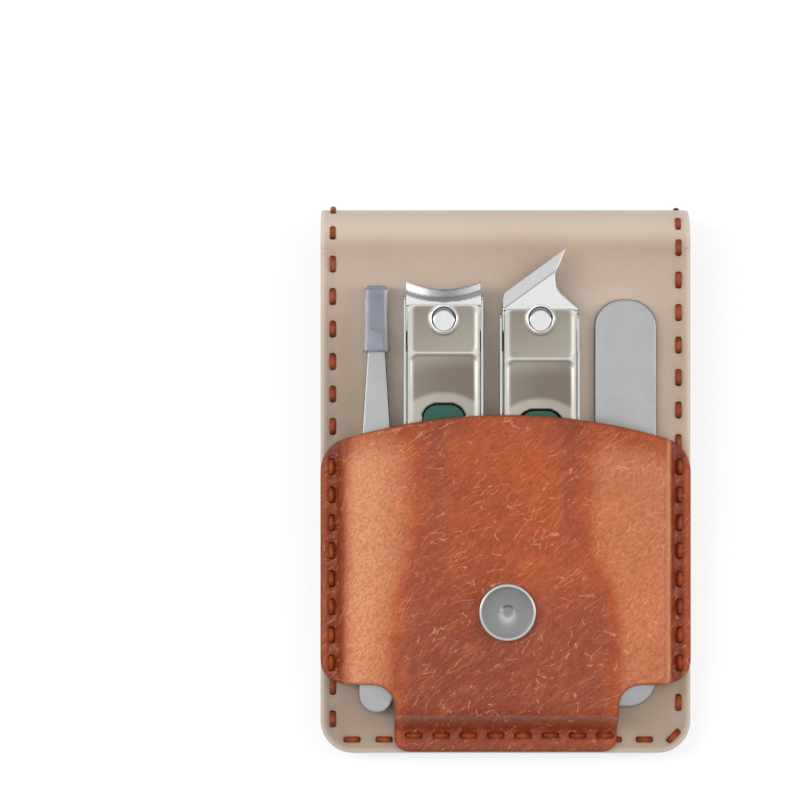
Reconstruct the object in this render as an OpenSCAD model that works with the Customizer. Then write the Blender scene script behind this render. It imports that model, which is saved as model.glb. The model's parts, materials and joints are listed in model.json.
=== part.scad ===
// Bifold manicure case, open, with its flap folded back behind the panel that holds the tools.
// X runs across the case, Y along it towards the fold, Z up from the table.
// The panel slopes up to the fold. What it carries is drawn in panel coordinates:
// x across, y up from the free end, z out of the lining, and on_panel() puts it in place.

/* [Case] */
// Thickness of the lining
lining_t = 0.8; // [0.6:0.1:1]
// Thickness of the stiffening board
board_t = 0.8; // [0.6:0.1:1.2]
// Thickness of the outer leather
leather_t = 1.2; // [1:0.1:1.6]
// Radius of the two corners at the free end
corner_r = 6.5; // [5:0.5:9]
// Width of the leather turned up round the board
turned_edge = 1; // [0.8:0.1:2]
// Lining left bare above the tallest tool
head_room = 2.1; // [1:0.1:6]
// Clearance between neighbouring sections of the fold
fold_clear = 0.06; // [0.04:0.01:0.12]

/* [Seams] */
// Length of a stitch
stitch_len = 3.7; // [3:0.1:4.2]
// Width of the thread
thread_w = 1.1; // [0.8:0.1:1.4]
// Height of the thread above what it is sewn to
thread_h = 0.45; // [0.3:0.05:0.5]
// Distance from one stitch of the case's seam to the next
case_pitch = 6.157; // [5.6:0.05:7]
// Distance from one stitch of the pocket's seams to the next
pocket_pitch = 5.6; // [5.2:0.1:6.4]
// Distance of the side seams from the edge
seam_inset = 2.1; // [1.7:0.1:2.4]
// Distance of the bottom seam from the free end
foot_inset = 2.7; // [2.2:0.1:3]

/* [Pocket] */
// Thickness of the pocket's leather
pocket_t = 1.3; // [1:0.1:1.6]
// Height of the mouth's crown above the free end
mouth_v = 67.6; // [64:0.1:72]
// Radius of the mouth's long arc
mouth_r = 112; // [100:1:160]
// Radius of the pocket's upper corners
pocket_corner_r = 7; // [5:0.5:9]
// Radius of the pocket's lower corners
pocket_foot_r = 4.6; // [3:0.2:6]
// Height of the pocket's lower edge above the free end
pocket_foot_v = 14.1; // [13:0.1:16]
// Width of the tab that closes the pocket
tab_w = 44.4; // [40:0.2:46]
// Radius between the tab and the pocket's lower edge
tab_fillet = 4.2; // [3:0.2:5]
// Height of the tab's stitches above the free end
tab_seam_v = 3.3; // [2.6:0.1:3.4]
// Run of the pocket's sloping end wall
end_run = 3.4; // [3:0.1:3.8]
// Width of the stitched flange at each side
flange_w = 3.4; // [3:0.1:4.5]
// Run of the steep wall above the flange
wall_run = 2.3; // [1.8:0.1:3]
// Width of the pocket's flat top
flat_w = 31; // [26:0.5:34]
// Clearance above the lever under the flat top
lever_room = 1.3; // [1:0.1:2.5]
// Clearance above the tweezers at the pocket's side
side_room_h = 0.7; // [0.5:0.1:1.5]
// Clearance beside the outer tools
side_room = 1.6; // [1.3:0.1:3]

/* [Snap] */
// Diameter of the snap's disc
snap_d = 11.3; // [9:0.1:12]
// Thickness of the snap's disc
snap_t = 1.1; // [0.8:0.1:1.6]
// Diameter of the snap's middle nub
nub_d = 2.8; // [2:0.1:3.6]
// Height of the nub above the disc
nub_h = 0.8; // [0.5:0.1:1.2]
// Diameter of the snap's shank
shank_d = 3; // [2:0.1:3.4]
// Thickness of the washer behind the snap
washer_t = 0.5; // [0.3:0.1:0.6]
// Height of the snap above the free end
snap_v = 28.3; // [22:0.1:40]
// Offset of the snap to the right of the middle
snap_u = 0.4; // [-2:0.1:2]
// Diameter of the cap over the magnet
magnet_cap_d = 12.4; // [10:0.2:14]
// Thickness of the cap over the magnet
magnet_cap_t = 0.5; // [0.3:0.1:0.7]
// Space between the closed snap's two faces
snap_gap = 0.3; // [0.2:0.05:0.6]

/* [Row of tools] */
// Height of the tools' lower ends above the free end
tail_v = 8.3; // [8.2:0.1:9.4]
// Height at which the tools lie above the lining
tool_lift = 0.3; // [0.2:0.05:0.5]
// Space between the tweezers and the first clipper
gap_tweezers = 1.95; // [1.5:0.05:3]
// Space between the two clippers
gap_clippers = 3.35; // [2:0.05:4]
// Space between the second clipper and the nail file
gap_file = 3.1; // [2:0.1:4]
// Offset of the whole row to the right of the middle
row_shift = 0.4; // [-0.6:0.1:0.6]

/* [Clippers] */
// Length of the curved clipper
clipper_len = 85.9; // [80:0.1:87]
// Width of a clipper over its catcher
clipper_w = 15.8; // [15:0.1:17]
// Thickness of the catcher's floor
catcher_t = 0.6; // [0.4:0.1:0.8]
// Thickness of the catcher's walls
catcher_wall = 0.4; // [0.3:0.05:0.5]
// Thickness of each jaw
jaw_t = 1.2; // [1:0.1:1.4]
// Width of a jaw between its head and its tail
jaw_w = 12; // [9:0.1:12.6]
// Space between the two cutting edges
bite = 0.8; // [0.6:0.1:1.2]
// Width of the ground bevel at the cutting edge
bevel_w = 2.4; // [1.8:0.1:2.6]
// Depth of the curved edge's hollow
edge_hollow = 1.6; // [1:0.1:2]
// Distance that the slant edge reaches past the curved one
slant_reach = 6.6; // [5:0.1:8]
// Offset of the slant edge's point from the middle
slant_tip_x = 5.2; // [4.6:0.1:6]
// Radius of the waist beside the slant edge's point
waist_r = 4.6; // [4.2:0.1:5]
// Distance of the post from the curved cutting edge
post_in = 7.8; // [7.4:0.1:8.6]
// Distance of the lever's end from the curved cutting edge
lever_in = 5.1; // [4.8:0.1:5.4]
// Distance of the ridge across the lever from the curved cutting edge
ridge_in = 14.3; // [13:0.1:16]
// Distance of the lever's grip from the curved cutting edge
grip_in = 24.5; // [23:0.1:27]
// Distance of the catcher's ears from the curved cutting edge
ear_in = 2.8; // [2.4:0.1:3.4]
// Length of a jaw's wide head
head_len = 9.9; // [9.4:0.1:10.6]
// Thickness of a lever
lever_t = 2.9; // [2.6:0.1:3.2]
// Width of the curved clipper's lever
curved_lever_w = 13.4; // [12.8:0.1:14.2]
// Width of the slant clipper's lever
slant_lever_w = 14.2; // [12.8:0.1:14.2]
// Width of the rim round a lever's recess
lever_rim = 1.1; // [0.8:0.1:1.6]
// Depth of a lever's recess
recess_t = 0.9; // [0.6:0.05:1]
// Diameter of the post
post_d = 3.6; // [3:0.1:4]
// Diameter of the post's head
post_head_d = 5.4; // [5:0.1:6]
// Diameter of the cross pin
pin_d = 1.2; // [0.8:0.1:1.2]
// Width of the grip let into a lever
grip_w = 8.3; // [7:0.1:9]
// Length of the grip let into a lever
grip_len = 30; // [20:1:44]
// Distance that the slant clipper's lever pattern lies lower
slant_drop = 1.2; // [0:0.1:2]

/* [Tweezers] */
// Length of the tweezers
tweezers_len = 76.5; // [70:0.5:77]
// Width of the tweezers at the tail
tweezers_w = 7; // [6:0.1:8]
// Width of the tweezers where they enter the cap
tweezers_tip_w = 3.6; // [3:0.1:4]
// Thickness of each arm
arm_t = 1; // [0.8:0.1:1.1]
// Space between the arms at their widest
arm_gap = 3; // [2.4:0.1:3.2]
// Space between the tips
tip_gap = 0.8; // [0.6:0.1:1]
// Length of the tip cap
cap_len = 13.2; // [12:0.1:16]
// Thickness of the cap's wall
cap_wall = 0.6; // [0.5:0.05:0.7]

/* [Nail file] */
// Length of the nail file
file_len = 81.4; // [70:0.1:84]
// Width of the nail file
file_w = 12.4; // [11:0.1:13]
// Thickness of the nail file
file_t = 1.1; // [0.8:0.1:1.4]
// Radius of the nail file's corners
file_r = 5.6; // [3:0.1:6]

/* [Hidden] */
$fn = 48;
big = 200;
brown = [0.62, 0.30, 0.18];
beige = [0.76, 0.68, 0.61];
card = [0.62, 0.55, 0.45];
thread_brown = [0.45, 0.18, 0.07];
steel = [0.72, 0.72, 0.73];
green = [0.20, 0.40, 0.33];
clear = [0.85, 0.87, 0.88, 0.5];

// Heights inside a clipper, above the underside of its catcher
flange_t = catcher_t + 0.1;
jaw_z = catcher_t + 0.3;
jaw_spread = 1.5;
lever_z = jaw_z + 2 * jaw_t + jaw_spread + 0.2;
clipper_h = lever_z + lever_t;
recess_z = clipper_h - recess_t;
edge_z = jaw_z + jaw_t + jaw_spread + 0.3;
head_z = edge_z + 2.5;
tweezers_h = 2 * arm_t + arm_gap;

// The row of tools and the case that holds it
row_w = tweezers_w + 2 * clipper_w + file_w + gap_tweezers + gap_clippers + gap_file;
case_w = row_w + 2 * (side_room + wall_run + flange_w);
tweezers_u = row_shift + (tweezers_w - row_w) / 2;
curved_u = tweezers_u + tweezers_w / 2 + gap_tweezers + clipper_w / 2;
slant_u = curved_u + clipper_w + gap_clippers;
file_u = slant_u + clipper_w / 2 + gap_file + file_w / 2;
panel_len = tail_v + clipper_len + slant_reach + head_room;
stack_t = lining_t + board_t + leather_t;

// The pocket
ceiling = tool_lift + clipper_h + lever_room;
pocket_h = ceiling + pocket_t;
shoulder_h = tool_lift + tweezers_h + side_room_h + pocket_t;
flange_u = case_w / 2 - flange_w;
ledge_u = flange_u - wall_run;
side_lean = atan(wall_run / (shoulder_h - pocket_t));
fold_v = tail_v - 0.5;
rise_v = fold_v - end_run;
fold_h = pocket_h - 1;
end_lean = atan(end_run / (fold_h - pocket_t));
tab_foot = 0.3;
tab_corner = 2.8;
mouth_y = mouth_v - mouth_r;
pocket_corner_u = case_w / 2 - pocket_corner_r;
pocket_corner_v = mouth_y + sqrt(pow(mouth_r - pocket_corner_r, 2) - pow(pocket_corner_u, 2));
mouth_a = atan2(pocket_corner_v - mouth_y, pocket_corner_u);

// The fold: sections of one length between hinge lines in the middle of its thickness
links = 5;
fold_t = lining_t + leather_t;
half_fold = fold_t / 2;
rest_gap = 2 * thread_h + 0.1;
closed_gap = pocket_h + snap_t + snap_gap;
function total(v, i = 0) = i == len(v) ? 0 : v[i] + total(v, i + 1);
function climb(turn, t) = total([for (k = [1:links]) sin(k * turn - t)]);
closed_turn = 180 / (links + 1);
link_len = (closed_gap + fold_t) / climb(closed_turn, 0);
// Slope of the panel at which the flap lies flat under it
function rise(t) = half_fold + link_len * climb((180 + t) / (links + 1), t)
    - stack_t - rest_gap - (stack_t - half_fold) * cos(t);
function settle(t, n) = n == 0 ? t : settle(asin(rise(t) / panel_len), n - 1);
tilt = settle(5, 12);
rest_turn = (180 + tilt) / (links + 1);
inset = half_fold * tan(rest_turn / 2) + fold_clear;
panel_z = stack_t + rest_gap + stack_t * cos(tilt);
function link_a(k) = tilt - k * rest_turn;
function hinge_y(k) = k == 1 ? panel_len * cos(tilt) + half_fold * sin(tilt)
    : hinge_y(k - 1) + link_len * cos(link_a(k - 1));
function hinge_z(k) = k == 1 ? panel_z + panel_len * sin(tilt) - half_fold * cos(tilt)
    : hinge_z(k - 1) + link_len * sin(link_a(k - 1));
function outer_y(k, s) = hinge_y(k) + s * cos(link_a(k)) - half_fold * sin(link_a(k));
reach = max([for (k = [1:links], s = [inset, link_len - inset]) outer_y(k, s)]);
panel_y = -reach / 2;
flap_y = panel_y + hinge_y(links + 1) - panel_len;

// Points along an arc, from one angle to another
function arc(c, r, a0, a1, n = 6) =
    [for (i = [0:n]) let (a = a0 + (a1 - a0) * i / n) [c[0] + r * cos(a), c[1] + r * sin(a)]];
function flip(pts) = [for (i = [len(pts) - 1:-1:0]) [-pts[i][0], pts[i][1]]];

module on_panel() {
    translate([0, panel_y, panel_z])
        rotate([tilt, 0, 0])
            children();
}

module on_flap() {
    translate([0, flap_y, 0])
        children();
}

module rounded(w, l, r) {
    for (x = [-1, 1], y = [0, 1])
        translate([x * (w / 2 - r), r + y * (l - 2 * r)])
            circle(r);
    translate([-w / 2, r])
        square([w, l - 2 * r]);
    translate([r - w / 2, 0])
        square([w - 2 * r, l]);
}

// Outline of the panel or the flap, drawn in from every edge
module leaf(in = 0, top_in = 0) {
    r = corner_r - in;
    for (x = [-1, 1])
        translate([x * (case_w / 2 - corner_r), corner_r])
            circle(r);
    translate([in - case_w / 2, corner_r])
        square([case_w - 2 * in, panel_len - inset - top_in - corner_r]);
    translate([corner_r - case_w / 2, in])
        square([case_w - 2 * corner_r, corner_r]);
}

module slab(z, t, in = 0, top_in = 0) {
    translate([0, 0, z])
        linear_extrude(t)
            leaf(in, top_in);
}

// A stitch along Y, flat underneath
module stitch() {
    sink = thread_w / 2 - thread_h;
    rotate([90, 0, 0])
        linear_extrude(stitch_len, center = true)
            intersection() {
                translate([0, -sink])
                    circle(d = thread_w, $fn = 24);
                translate([-thread_w, 0])
                    square([2 * thread_w, thread_w]);
            }
}

module at_each(places) {
    for (p = places)
        translate([p[0], p[1], 0])
            rotate([0, 0, p[2]])
                children();
}

// Seam places: x, y and the turn of each stitch
seam_u = case_w / 2 - seam_inset;
seam_foot = corner_r + 0.1;
side_count = floor((panel_len - inset - stitch_len / 2 - seam_foot) / case_pitch);
function side_seam(v0, pitch, n, u) = [for (k = [0:n], x = [-u, u]) [x, v0 + k * pitch, 0]];
side_places = side_seam(seam_foot, case_pitch, side_count, seam_u);
pocket_v0 = pocket_foot_v + pocket_foot_r - 0.6;
pocket_count = floor((pocket_corner_v + 1.5 - pocket_v0) / pocket_pitch);
bare_places = [for (p = side_places)
    if (p[1] + stitch_len / 2 < pocket_foot_v + 1 || p[1] - stitch_len / 2 > pocket_corner_v + 2) p];
tab_edge = tab_w / 2 + 0.25 + stitch_len / 2;
corner_c = case_w / 2 - corner_r;
corner_seam = (corner_r - seam_inset) / sqrt(2);
foot_places = [
    [-tab_edge, foot_inset, 90],
    [-tab_edge - 6.4, foot_inset, 90],
    [tab_edge + 3.5, foot_inset, 90],
    [corner_c + corner_seam, corner_r - corner_seam, -45]];
foot_count = floor(corner_c / case_pitch);
flap_foot = [for (k = [-foot_count:foot_count]) [k * case_pitch, foot_inset, 90]];
flap_corners = [for (x = [-1, 1]) [x * (corner_c + corner_seam), corner_r - corner_seam, -45 * x]];
flap_places = concat(side_places, flap_foot, flap_corners);
tab_count = floor((tab_w / 2 - 3.5) / pocket_pitch);
tab_places = [for (k = [-tab_count:tab_count + 1]) [(k - 0.5) * pocket_pitch, tab_seam_v, 90]];

module back_leather() {
    color(brown)
        on_panel()
            difference() {
                slab(-stack_t, leather_t + board_t);
                slab(-board_t - lining_t, big, turned_edge, 2 * turned_edge);
            }
}

module back_board() {
    color(card)
        on_panel()
            slab(-board_t - lining_t, board_t, turned_edge, 2 * turned_edge);
}

module back_lining() {
    color(beige)
        on_panel()
            slab(-lining_t, lining_t);
}

module back_thread() {
    color(thread_brown)
        on_panel() {
            difference() {
                at_each(concat(bare_places, foot_places))
                    stitch();
                linear_extrude(pocket_t)
                    polygon(pocket_outline);
            }
            translate([0, 0, -stack_t])
                at_each(flap_places)
                    rotate([0, 180, 0])
                        stitch();
        }
}

module link(k, z, t) {
    translate([0, panel_y + hinge_y(k), hinge_z(k)])
        rotate([link_a(k), 0, 0])
            translate([-case_w / 2, inset, z])
                cube([case_w, link_len - 2 * inset, t]);
}

module fold_leather(k) {
    color(brown)
        link(k, -half_fold, leather_t);
}

module fold_lining(k) {
    color(beige)
        link(k, half_fold - lining_t, lining_t);
}

// Outline of the pocket: right half from the tab up to the mouth, then its mirror image
pocket_right = concat(
    arc([tab_w / 2 - tab_corner, tab_foot + tab_corner], tab_corner, -90, 0),
    arc([tab_w / 2 + tab_fillet, pocket_foot_v - tab_fillet], tab_fillet, 180, 90),
    arc([case_w / 2 - pocket_foot_r, pocket_foot_v + pocket_foot_r], pocket_foot_r, -90, 0),
    arc([pocket_corner_u, pocket_corner_v], pocket_corner_r, 0, mouth_a),
    arc([0, mouth_y], mouth_r, mouth_a, 90, 8));
pocket_outline = concat(pocket_right, flip([for (i = [0:len(pocket_right) - 2]) pocket_right[i]]));

// Half of the pocket's cross section, from its foot up: steep wall, sloping shoulder, flat top
function crown(t) = (1 + cos(180 * t)) / 2;
function shoulder(h, low, end) = [for (i = [8:-1:0])
    [flat_w / 2 + (end - flat_w / 2) * i / 8, low + (h - low) * crown(i / 8)]];
outer_half = concat([
    [case_w / 2 + 1, -1],
    [case_w / 2 + 1, pocket_t],
    [flange_u + 0.5, pocket_t],
    [flange_u, pocket_t + 0.4],
    [ledge_u + 0.3, shoulder_h - 0.8]],
    shoulder(pocket_h, shoulder_h, ledge_u - 0.4));
inner_wall = pocket_t / cos(side_lean);
inner_low = flange_u + pocket_t * tan(side_lean) - inner_wall;
inner_ledge = inner_low - (shoulder_h - pocket_t) * tan(side_lean);
inner_half = concat([[inner_low, -1], [inner_low, 0]],
    shoulder(ceiling, shoulder_h - pocket_t, inner_ledge));

// The pocket seen from the side: tab, end wall, fold line, flat top
outer_profile = [[-1, -1], [big, -1], [big, pocket_h], [fold_v + 2, pocket_h],
    [fold_v + 0.8, pocket_h - 0.25], [fold_v, fold_h], [rise_v, pocket_t], [-1, pocket_t]];
inner_foot = rise_v - pocket_t * tan(end_lean) + pocket_t / cos(end_lean);
inner_fold = inner_foot + (fold_h - pocket_t) * tan(end_lean);
inner_profile = [[inner_foot, -1], [big, -1], [big, ceiling], [inner_fold + 1.5, ceiling],
    [inner_fold, fold_h - pocket_t], [inner_foot, 0]];

module section(half) {
    rotate([90, 0, 180])
        linear_extrude(big)
            polygon(concat(half, flip(half)));
}

module side_view(points) {
    translate([-big / 2, 0, 0])
        rotate([90, 0, 90])
            linear_extrude(big)
                polygon(points);
}

module at_snap(z) {
    on_panel()
        translate([snap_u, snap_v, z])
            children();
}

module pocket_leather() {
    color(brown)
        difference() {
            on_panel()
                difference() {
                    intersection() {
                        linear_extrude(pocket_h + 1)
                            polygon(pocket_outline);
                        section(outer_half);
                        side_view(outer_profile);
                    }
                    intersection() {
                        section(inner_half);
                        side_view(inner_profile);
                    }
                }
            at_snap(0)
                cylinder(h = pocket_h + 1, d = shank_d + 0.2);
        }
}

module pocket_thread() {
    side = side_seam(pocket_v0, pocket_pitch, pocket_count, seam_u - 0.15);
    color(thread_brown)
        on_panel()
            translate([0, 0, pocket_t])
                at_each(concat(side, tab_places))
                    stitch();
}

module snap_disc() {
    color(steel)
        at_snap(pocket_h)
            difference() {
                cylinder(h = snap_t, d = snap_d);
                translate([0, 0, snap_t - 0.3])
                    cylinder(h = 1, d1 = snap_d - 1.8, d2 = snap_d - 1);
                translate([0, 0, -1])
                    cylinder(h = 5, d = nub_d);
            }
}

// The rivet's shank goes through the leather and the washer, and its nub stands out of the disc
module snap_rivet() {
    color(steel)
        at_snap(ceiling - washer_t) {
            cylinder(h = pocket_t + washer_t, d = shank_d);
            translate([0, 0, pocket_t + washer_t])
                cylinder(h = snap_t + nub_h, d = nub_d);
        }
}

module snap_washer() {
    color(steel)
        at_snap(ceiling - washer_t)
            difference() {
                cylinder(h = washer_t, d = snap_d);
                translate([0, 0, -1])
                    cylinder(h = 2, d = shank_d + 0.1);
            }
}

// The flap lies with its lining on the table, so its pieces are drawn from the lining up
module at_magnet(z) {
    on_flap()
        translate([snap_u, snap_v, z])
            children();
}

module flap_leather() {
    color(brown)
        on_flap()
            difference() {
                slab(lining_t, board_t + leather_t);
                slab(lining_t - 1, board_t + 1, turned_edge, 2 * turned_edge);
            }
}

module flap_board() {
    color(card)
        difference() {
            on_flap()
                slab(lining_t, board_t, turned_edge, 2 * turned_edge);
            at_magnet(0)
                cylinder(h = lining_t + board_t + 0.1, d = magnet_cap_d + 0.2);
        }
}

module flap_lining() {
    color(beige)
        difference() {
            on_flap()
                difference() {
                    slab(0, lining_t);
                    at_each(flap_places)
                        cube([thread_w + 0.1, stitch_len + 0.1, 2 * thread_h], center = true);
                }
            at_magnet(-1)
                cylinder(h = lining_t + 2, d = magnet_cap_d + 0.2);
        }
}

// On the lining the thread is pressed flush, on the leather it stands up
module flap_thread() {
    color(thread_brown)
        on_flap() {
            translate([0, 0, stack_t])
                at_each(flap_places)
                    stitch();
            at_each(flap_places)
                translate([-thread_w / 2, -stitch_len / 2, 0])
                    cube([thread_w, stitch_len, thread_h]);
        }
}

module magnet_cap() {
    color(steel)
        at_magnet(0)
            difference() {
                cylinder(h = magnet_cap_t, d = magnet_cap_d);
                translate([0, 0, -1])
                    cylinder(h = 2, d = nub_d + 0.8);
            }
}

module magnet() {
    color("dimgray")
        at_magnet(magnet_cap_t)
            difference() {
                cylinder(h = lining_t + board_t - magnet_cap_t, d = magnet_cap_d - 1.6);
                translate([0, 0, -1])
                    cylinder(h = 4, d = nub_d + 0.8);
            }
}

// Clippers: y runs from the catcher's tail to the cutting edge, z up from its underside
post_y = clipper_len - post_in;
lever_end = clipper_len - lever_in;
ridge_y = clipper_len - ridge_in;
grip_top = clipper_len - grip_in;
ear_y = clipper_len - ear_in;
head_y = clipper_len - head_len;
slant_ear_y = ear_y - 3.6;
bend_y = clipper_len - 26;
land = 0.1;
far_y = clipper_len + slant_reach + 2;
jaw_tail = catcher_wall + 0.2;
weld_y = 10;
head_w = clipper_w - 2 * catcher_wall - 0.2;
low_edge = edge_z - bite;
edge_r = (pow(head_w / 2, 2) + pow(edge_hollow, 2)) / (2 * edge_hollow);
edge_c = clipper_len - edge_hollow + edge_r;
wall_h = jaw_z + 2 * jaw_t + 1.3;
flange_d = post_head_d + 1;
inlay_t = 0.8;
inlay_r = 2.9;

module at_clipper(u) {
    on_panel()
        translate([u, tail_v, tool_lift])
            children();
}

module catcher(u, ear) {
    color(steel)
        at_clipper(u)
            difference() {
                union() {
                    translate([-clipper_w / 2, 0, 0])
                        cube([clipper_w, head_y - 4, wall_h]);
                    translate([-clipper_w / 2, 0, 0])
                        cube([clipper_w, ear - 1, wall_h - 1.6]);
                    translate([0, ear - 1, wall_h - 2.6])
                        rotate([0, 90, 0])
                            cylinder(h = clipper_w, r = 1, center = true);
                }
                translate([catcher_wall - clipper_w / 2, catcher_wall, catcher_t])
                    cube([clipper_w - 2 * catcher_wall, big, big]);
                translate([catcher_wall - clipper_w / 2, head_y - 4, -1])
                    cube([clipper_w - 2 * catcher_wall, big, big]);
            }
}

// Outline of a jaw seen from above, with the curved or the slant edge
module jaw_body() {
    translate([-jaw_w / 2, 0])
        square([jaw_w, head_y]);
    polygon([[-jaw_w / 2, head_y - 2], [jaw_w / 2, head_y - 2], [head_w / 2, head_y],
        [-head_w / 2, head_y]]);
}

module curved_head() {
    difference() {
        translate([-head_w / 2, head_y - 0.1])
            square([head_w, clipper_len - head_y + 0.1]);
        translate([0, edge_c])
            circle(edge_r, $fn = 96);
    }
}

slant_heel = [-head_w / 2 + 0.3, clipper_len - 2.3];
slant_tip = [slant_tip_x, clipper_len + slant_reach];
slant_a = atan2(slant_tip[1] - slant_heel[1], slant_tip[0] - slant_heel[0]);
waist = [head_w / 2 + 0.3, clipper_len + 0.7];

module slant_head() {
    difference() {
        polygon([[-head_w / 2, head_y - 0.1], [head_w / 2, head_y - 0.1],
            [head_w / 2, clipper_len - 5.5], [4, clipper_len - 1.9], [4, clipper_len + slant_reach - 3.2],
            slant_tip, slant_heel, [-head_w / 2, clipper_len - 4]]);
        translate(waist)
            circle(waist_r);
    }
}

// What the grinder takes off a jaw: from the edge at height a to the full bevel at height b
module curved_bevel(a, b) {
    translate([0, edge_c, a])
        cylinder(h = b - a + 0.01, r1 = edge_r - land, r2 = edge_r + bevel_w, $fn = 96);
}

module slant_bevel(a, b) {
    translate([slant_heel[0], slant_heel[1], 0])
        rotate([90, 0, slant_a + 90])
            translate([0, 0, -big / 2])
                linear_extrude(big)
                    polygon([[land, a], [-1.2 * bevel_w, a + 1.2 * (b - a)],
                        [big, a + 1.2 * (b - a)], [big, a]]);
}

lower_side = [[jaw_tail, jaw_z], [far_y, jaw_z], [far_y, low_edge], [head_y + 5.5, low_edge],
    [head_y + 1, jaw_z + jaw_t], [jaw_tail, jaw_z + jaw_t]];
leaf_z = jaw_z + jaw_t;
upper_side = [[jaw_tail, leaf_z], [weld_y, leaf_z], [bend_y, leaf_z + jaw_spread - 0.2],
    [head_y + 2, leaf_z + jaw_spread], [head_y + 5.5, edge_z], [far_y, edge_z], [far_y, head_z],
    [lever_end + 0.3, head_z], [lever_end + 0.3, leaf_z + jaw_spread + jaw_t],
    [bend_y, leaf_z + jaw_spread + jaw_t - 0.2], [weld_y, leaf_z + jaw_t],
    [jaw_tail, leaf_z + jaw_t]];

// Children: the head's outline, then what the grinder takes off
module jaw(side, bore) {
    difference() {
        intersection() {
            linear_extrude(head_z + 1) {
                jaw_body();
                children(0);
            }
            side_view(side);
        }
        children(1);
        translate([0, post_y, 0])
            cylinder(h = big, d = bore);
    }
}

module lower_jaw(u, slant) {
    color(steel)
        at_clipper(u)
            if (slant)
                jaw(lower_side, post_d + 0.2) {
                    slant_head();
                    mirror([0, 0, 1])
                        slant_bevel(-low_edge, -jaw_z);
                }
            else
                jaw(lower_side, post_d + 0.2) {
                    curved_head();
                    mirror([0, 0, 1])
                        curved_bevel(-low_edge, -jaw_z);
                }
}

module upper_jaw(u, slant) {
    color(steel)
        at_clipper(u)
            if (slant)
                jaw(upper_side, post_d + 0.6) {
                    slant_head();
                    slant_bevel(edge_z, head_z);
                }
            else
                jaw(upper_side, post_d + 0.6) {
                    curved_head();
                    curved_bevel(edge_z, head_z);
                }
}

pin_z = (lever_z + recess_z) / 2;

module post(u) {
    color(steel)
        at_clipper(u)
            translate([0, post_y, 0])
                difference() {
                    union() {
                        translate([0, 0, 0.1])
                            cylinder(h = flange_t, d = flange_d);
                        translate([0, 0, 0.1])
                            cylinder(h = recess_z, d = post_d);
                        translate([0, 0, recess_z + 0.1])
                            cylinder(h = 1, d = post_head_d);
                        translate([0, 0, recess_z + 1])
                            cylinder(h = 0.5, d = post_head_d - 1);
                    }
                    translate([0, 0, pin_z])
                        rotate([0, 90, 0])
                            cylinder(h = big, d = pin_d + 0.1, center = true);
                }
}

module pin(u, w) {
    color(steel)
        at_clipper(u)
            translate([0, post_y, pin_z])
                rotate([0, 90, 0])
                    cylinder(h = w - 1, d = pin_d, center = true);
}

module lever(u, w, drop) {
    end = lever_end - drop / 2;
    ridge = ridge_y - drop;
    scoop_len = ridge - grip_top + drop - 2.6;
    scoop_r = (pow(scoop_len / 2, 2) + pow(recess_t, 2)) / (2 * recess_t);
    color(steel)
        at_clipper(u)
            difference() {
                translate([0, 1, lever_z])
                    linear_extrude(lever_t)
                        rounded(w, end - 1, 1.5);
                translate([0, ridge + 0.5, recess_z])
                    linear_extrude(big)
                        rounded(w - 2 * lever_rim, end - ridge - 1.1, 1.4);
                intersection() {
                    translate([0, ridge - 0.5 - scoop_len / 2, clipper_h + scoop_r - recess_t])
                        rotate([0, 90, 0])
                            cylinder(h = w - 2 * lever_rim, r = scoop_r, center = true, $fn = 96);
                    translate([-w / 2, 0, lever_z])
                        cube([w, big, lever_t + 1]);
                }
                translate([0, grip_top - drop - grip_len - 0.2, clipper_h - inlay_t])
                    linear_extrude(big)
                        rounded(grip_w + 0.4, grip_len + 0.4, inlay_r + 0.2);
                translate([0, post_y, 0])
                    cylinder(h = big, d = post_d + 0.2);
                translate([0, post_y, recess_z])
                    cylinder(h = big, d = post_head_d + 0.6);
                translate([0, post_y, pin_z])
                    rotate([0, 90, 0])
                        cylinder(h = big, d = pin_d + 0.1, center = true);
            }
}

module grip(u, drop) {
    color(green)
        at_clipper(u)
            translate([0, grip_top - drop - grip_len, clipper_h - inlay_t])
                linear_extrude(inlay_t + 0.2)
                    rounded(grip_w, grip_len, inlay_r);
}

// Tweezers: two arms that mirror each other about the middle of their height
middle_z = tweezers_h / 2;
arm_weld = 14;
arm_out = 30;
arm_in = tweezers_len - 20.5;
tip_low = middle_z - tip_gap / 2 - arm_t;
cap_y = tweezers_len - 4.6;
cap_h = 2 * (middle_z - tip_low * (cap_y - arm_in) / (tweezers_len - arm_in)) + 0.4;
blade_w = tweezers_tip_w - 0.7;
cap_w = tweezers_tip_w + 0.7 + 2 * cap_wall;

module at_tweezers() {
    on_panel()
        translate([tweezers_u, tail_v, tool_lift])
            children();
}

module rear_arm() {
    intersection() {
        linear_extrude(tweezers_h) {
            translate([0, tweezers_w / 2])
                circle(d = tweezers_w);
            polygon([[-tweezers_w / 2, tweezers_w / 2], [tweezers_w / 2, tweezers_w / 2],
                [tweezers_w * 0.4, arm_in], [tweezers_tip_w / 2, cap_y],
                [blade_w / 2, cap_y + 1], [blade_w / 2, tweezers_len - 0.8],
                [-blade_w / 2, tweezers_len], [-blade_w / 2, cap_y + 1],
                [-tweezers_tip_w / 2, cap_y], [-tweezers_w * 0.4, arm_in]]);
        }
        side_view([[0, middle_z - arm_t], [arm_weld, middle_z - arm_t], [arm_out, 0], [arm_in, 0],
            [tweezers_len, tip_low], [tweezers_len, tip_low + arm_t], [arm_in, arm_t],
            [arm_out, arm_t], [arm_weld, middle_z], [0, middle_z]]);
    }
}

module tweezers_rear_arm() {
    color(steel)
        at_tweezers()
            rear_arm();
}

module tweezers_front_arm() {
    color(steel)
        at_tweezers()
            translate([0, 0, tweezers_h])
                mirror([0, 0, 1])
                    rear_arm();
}

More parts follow.
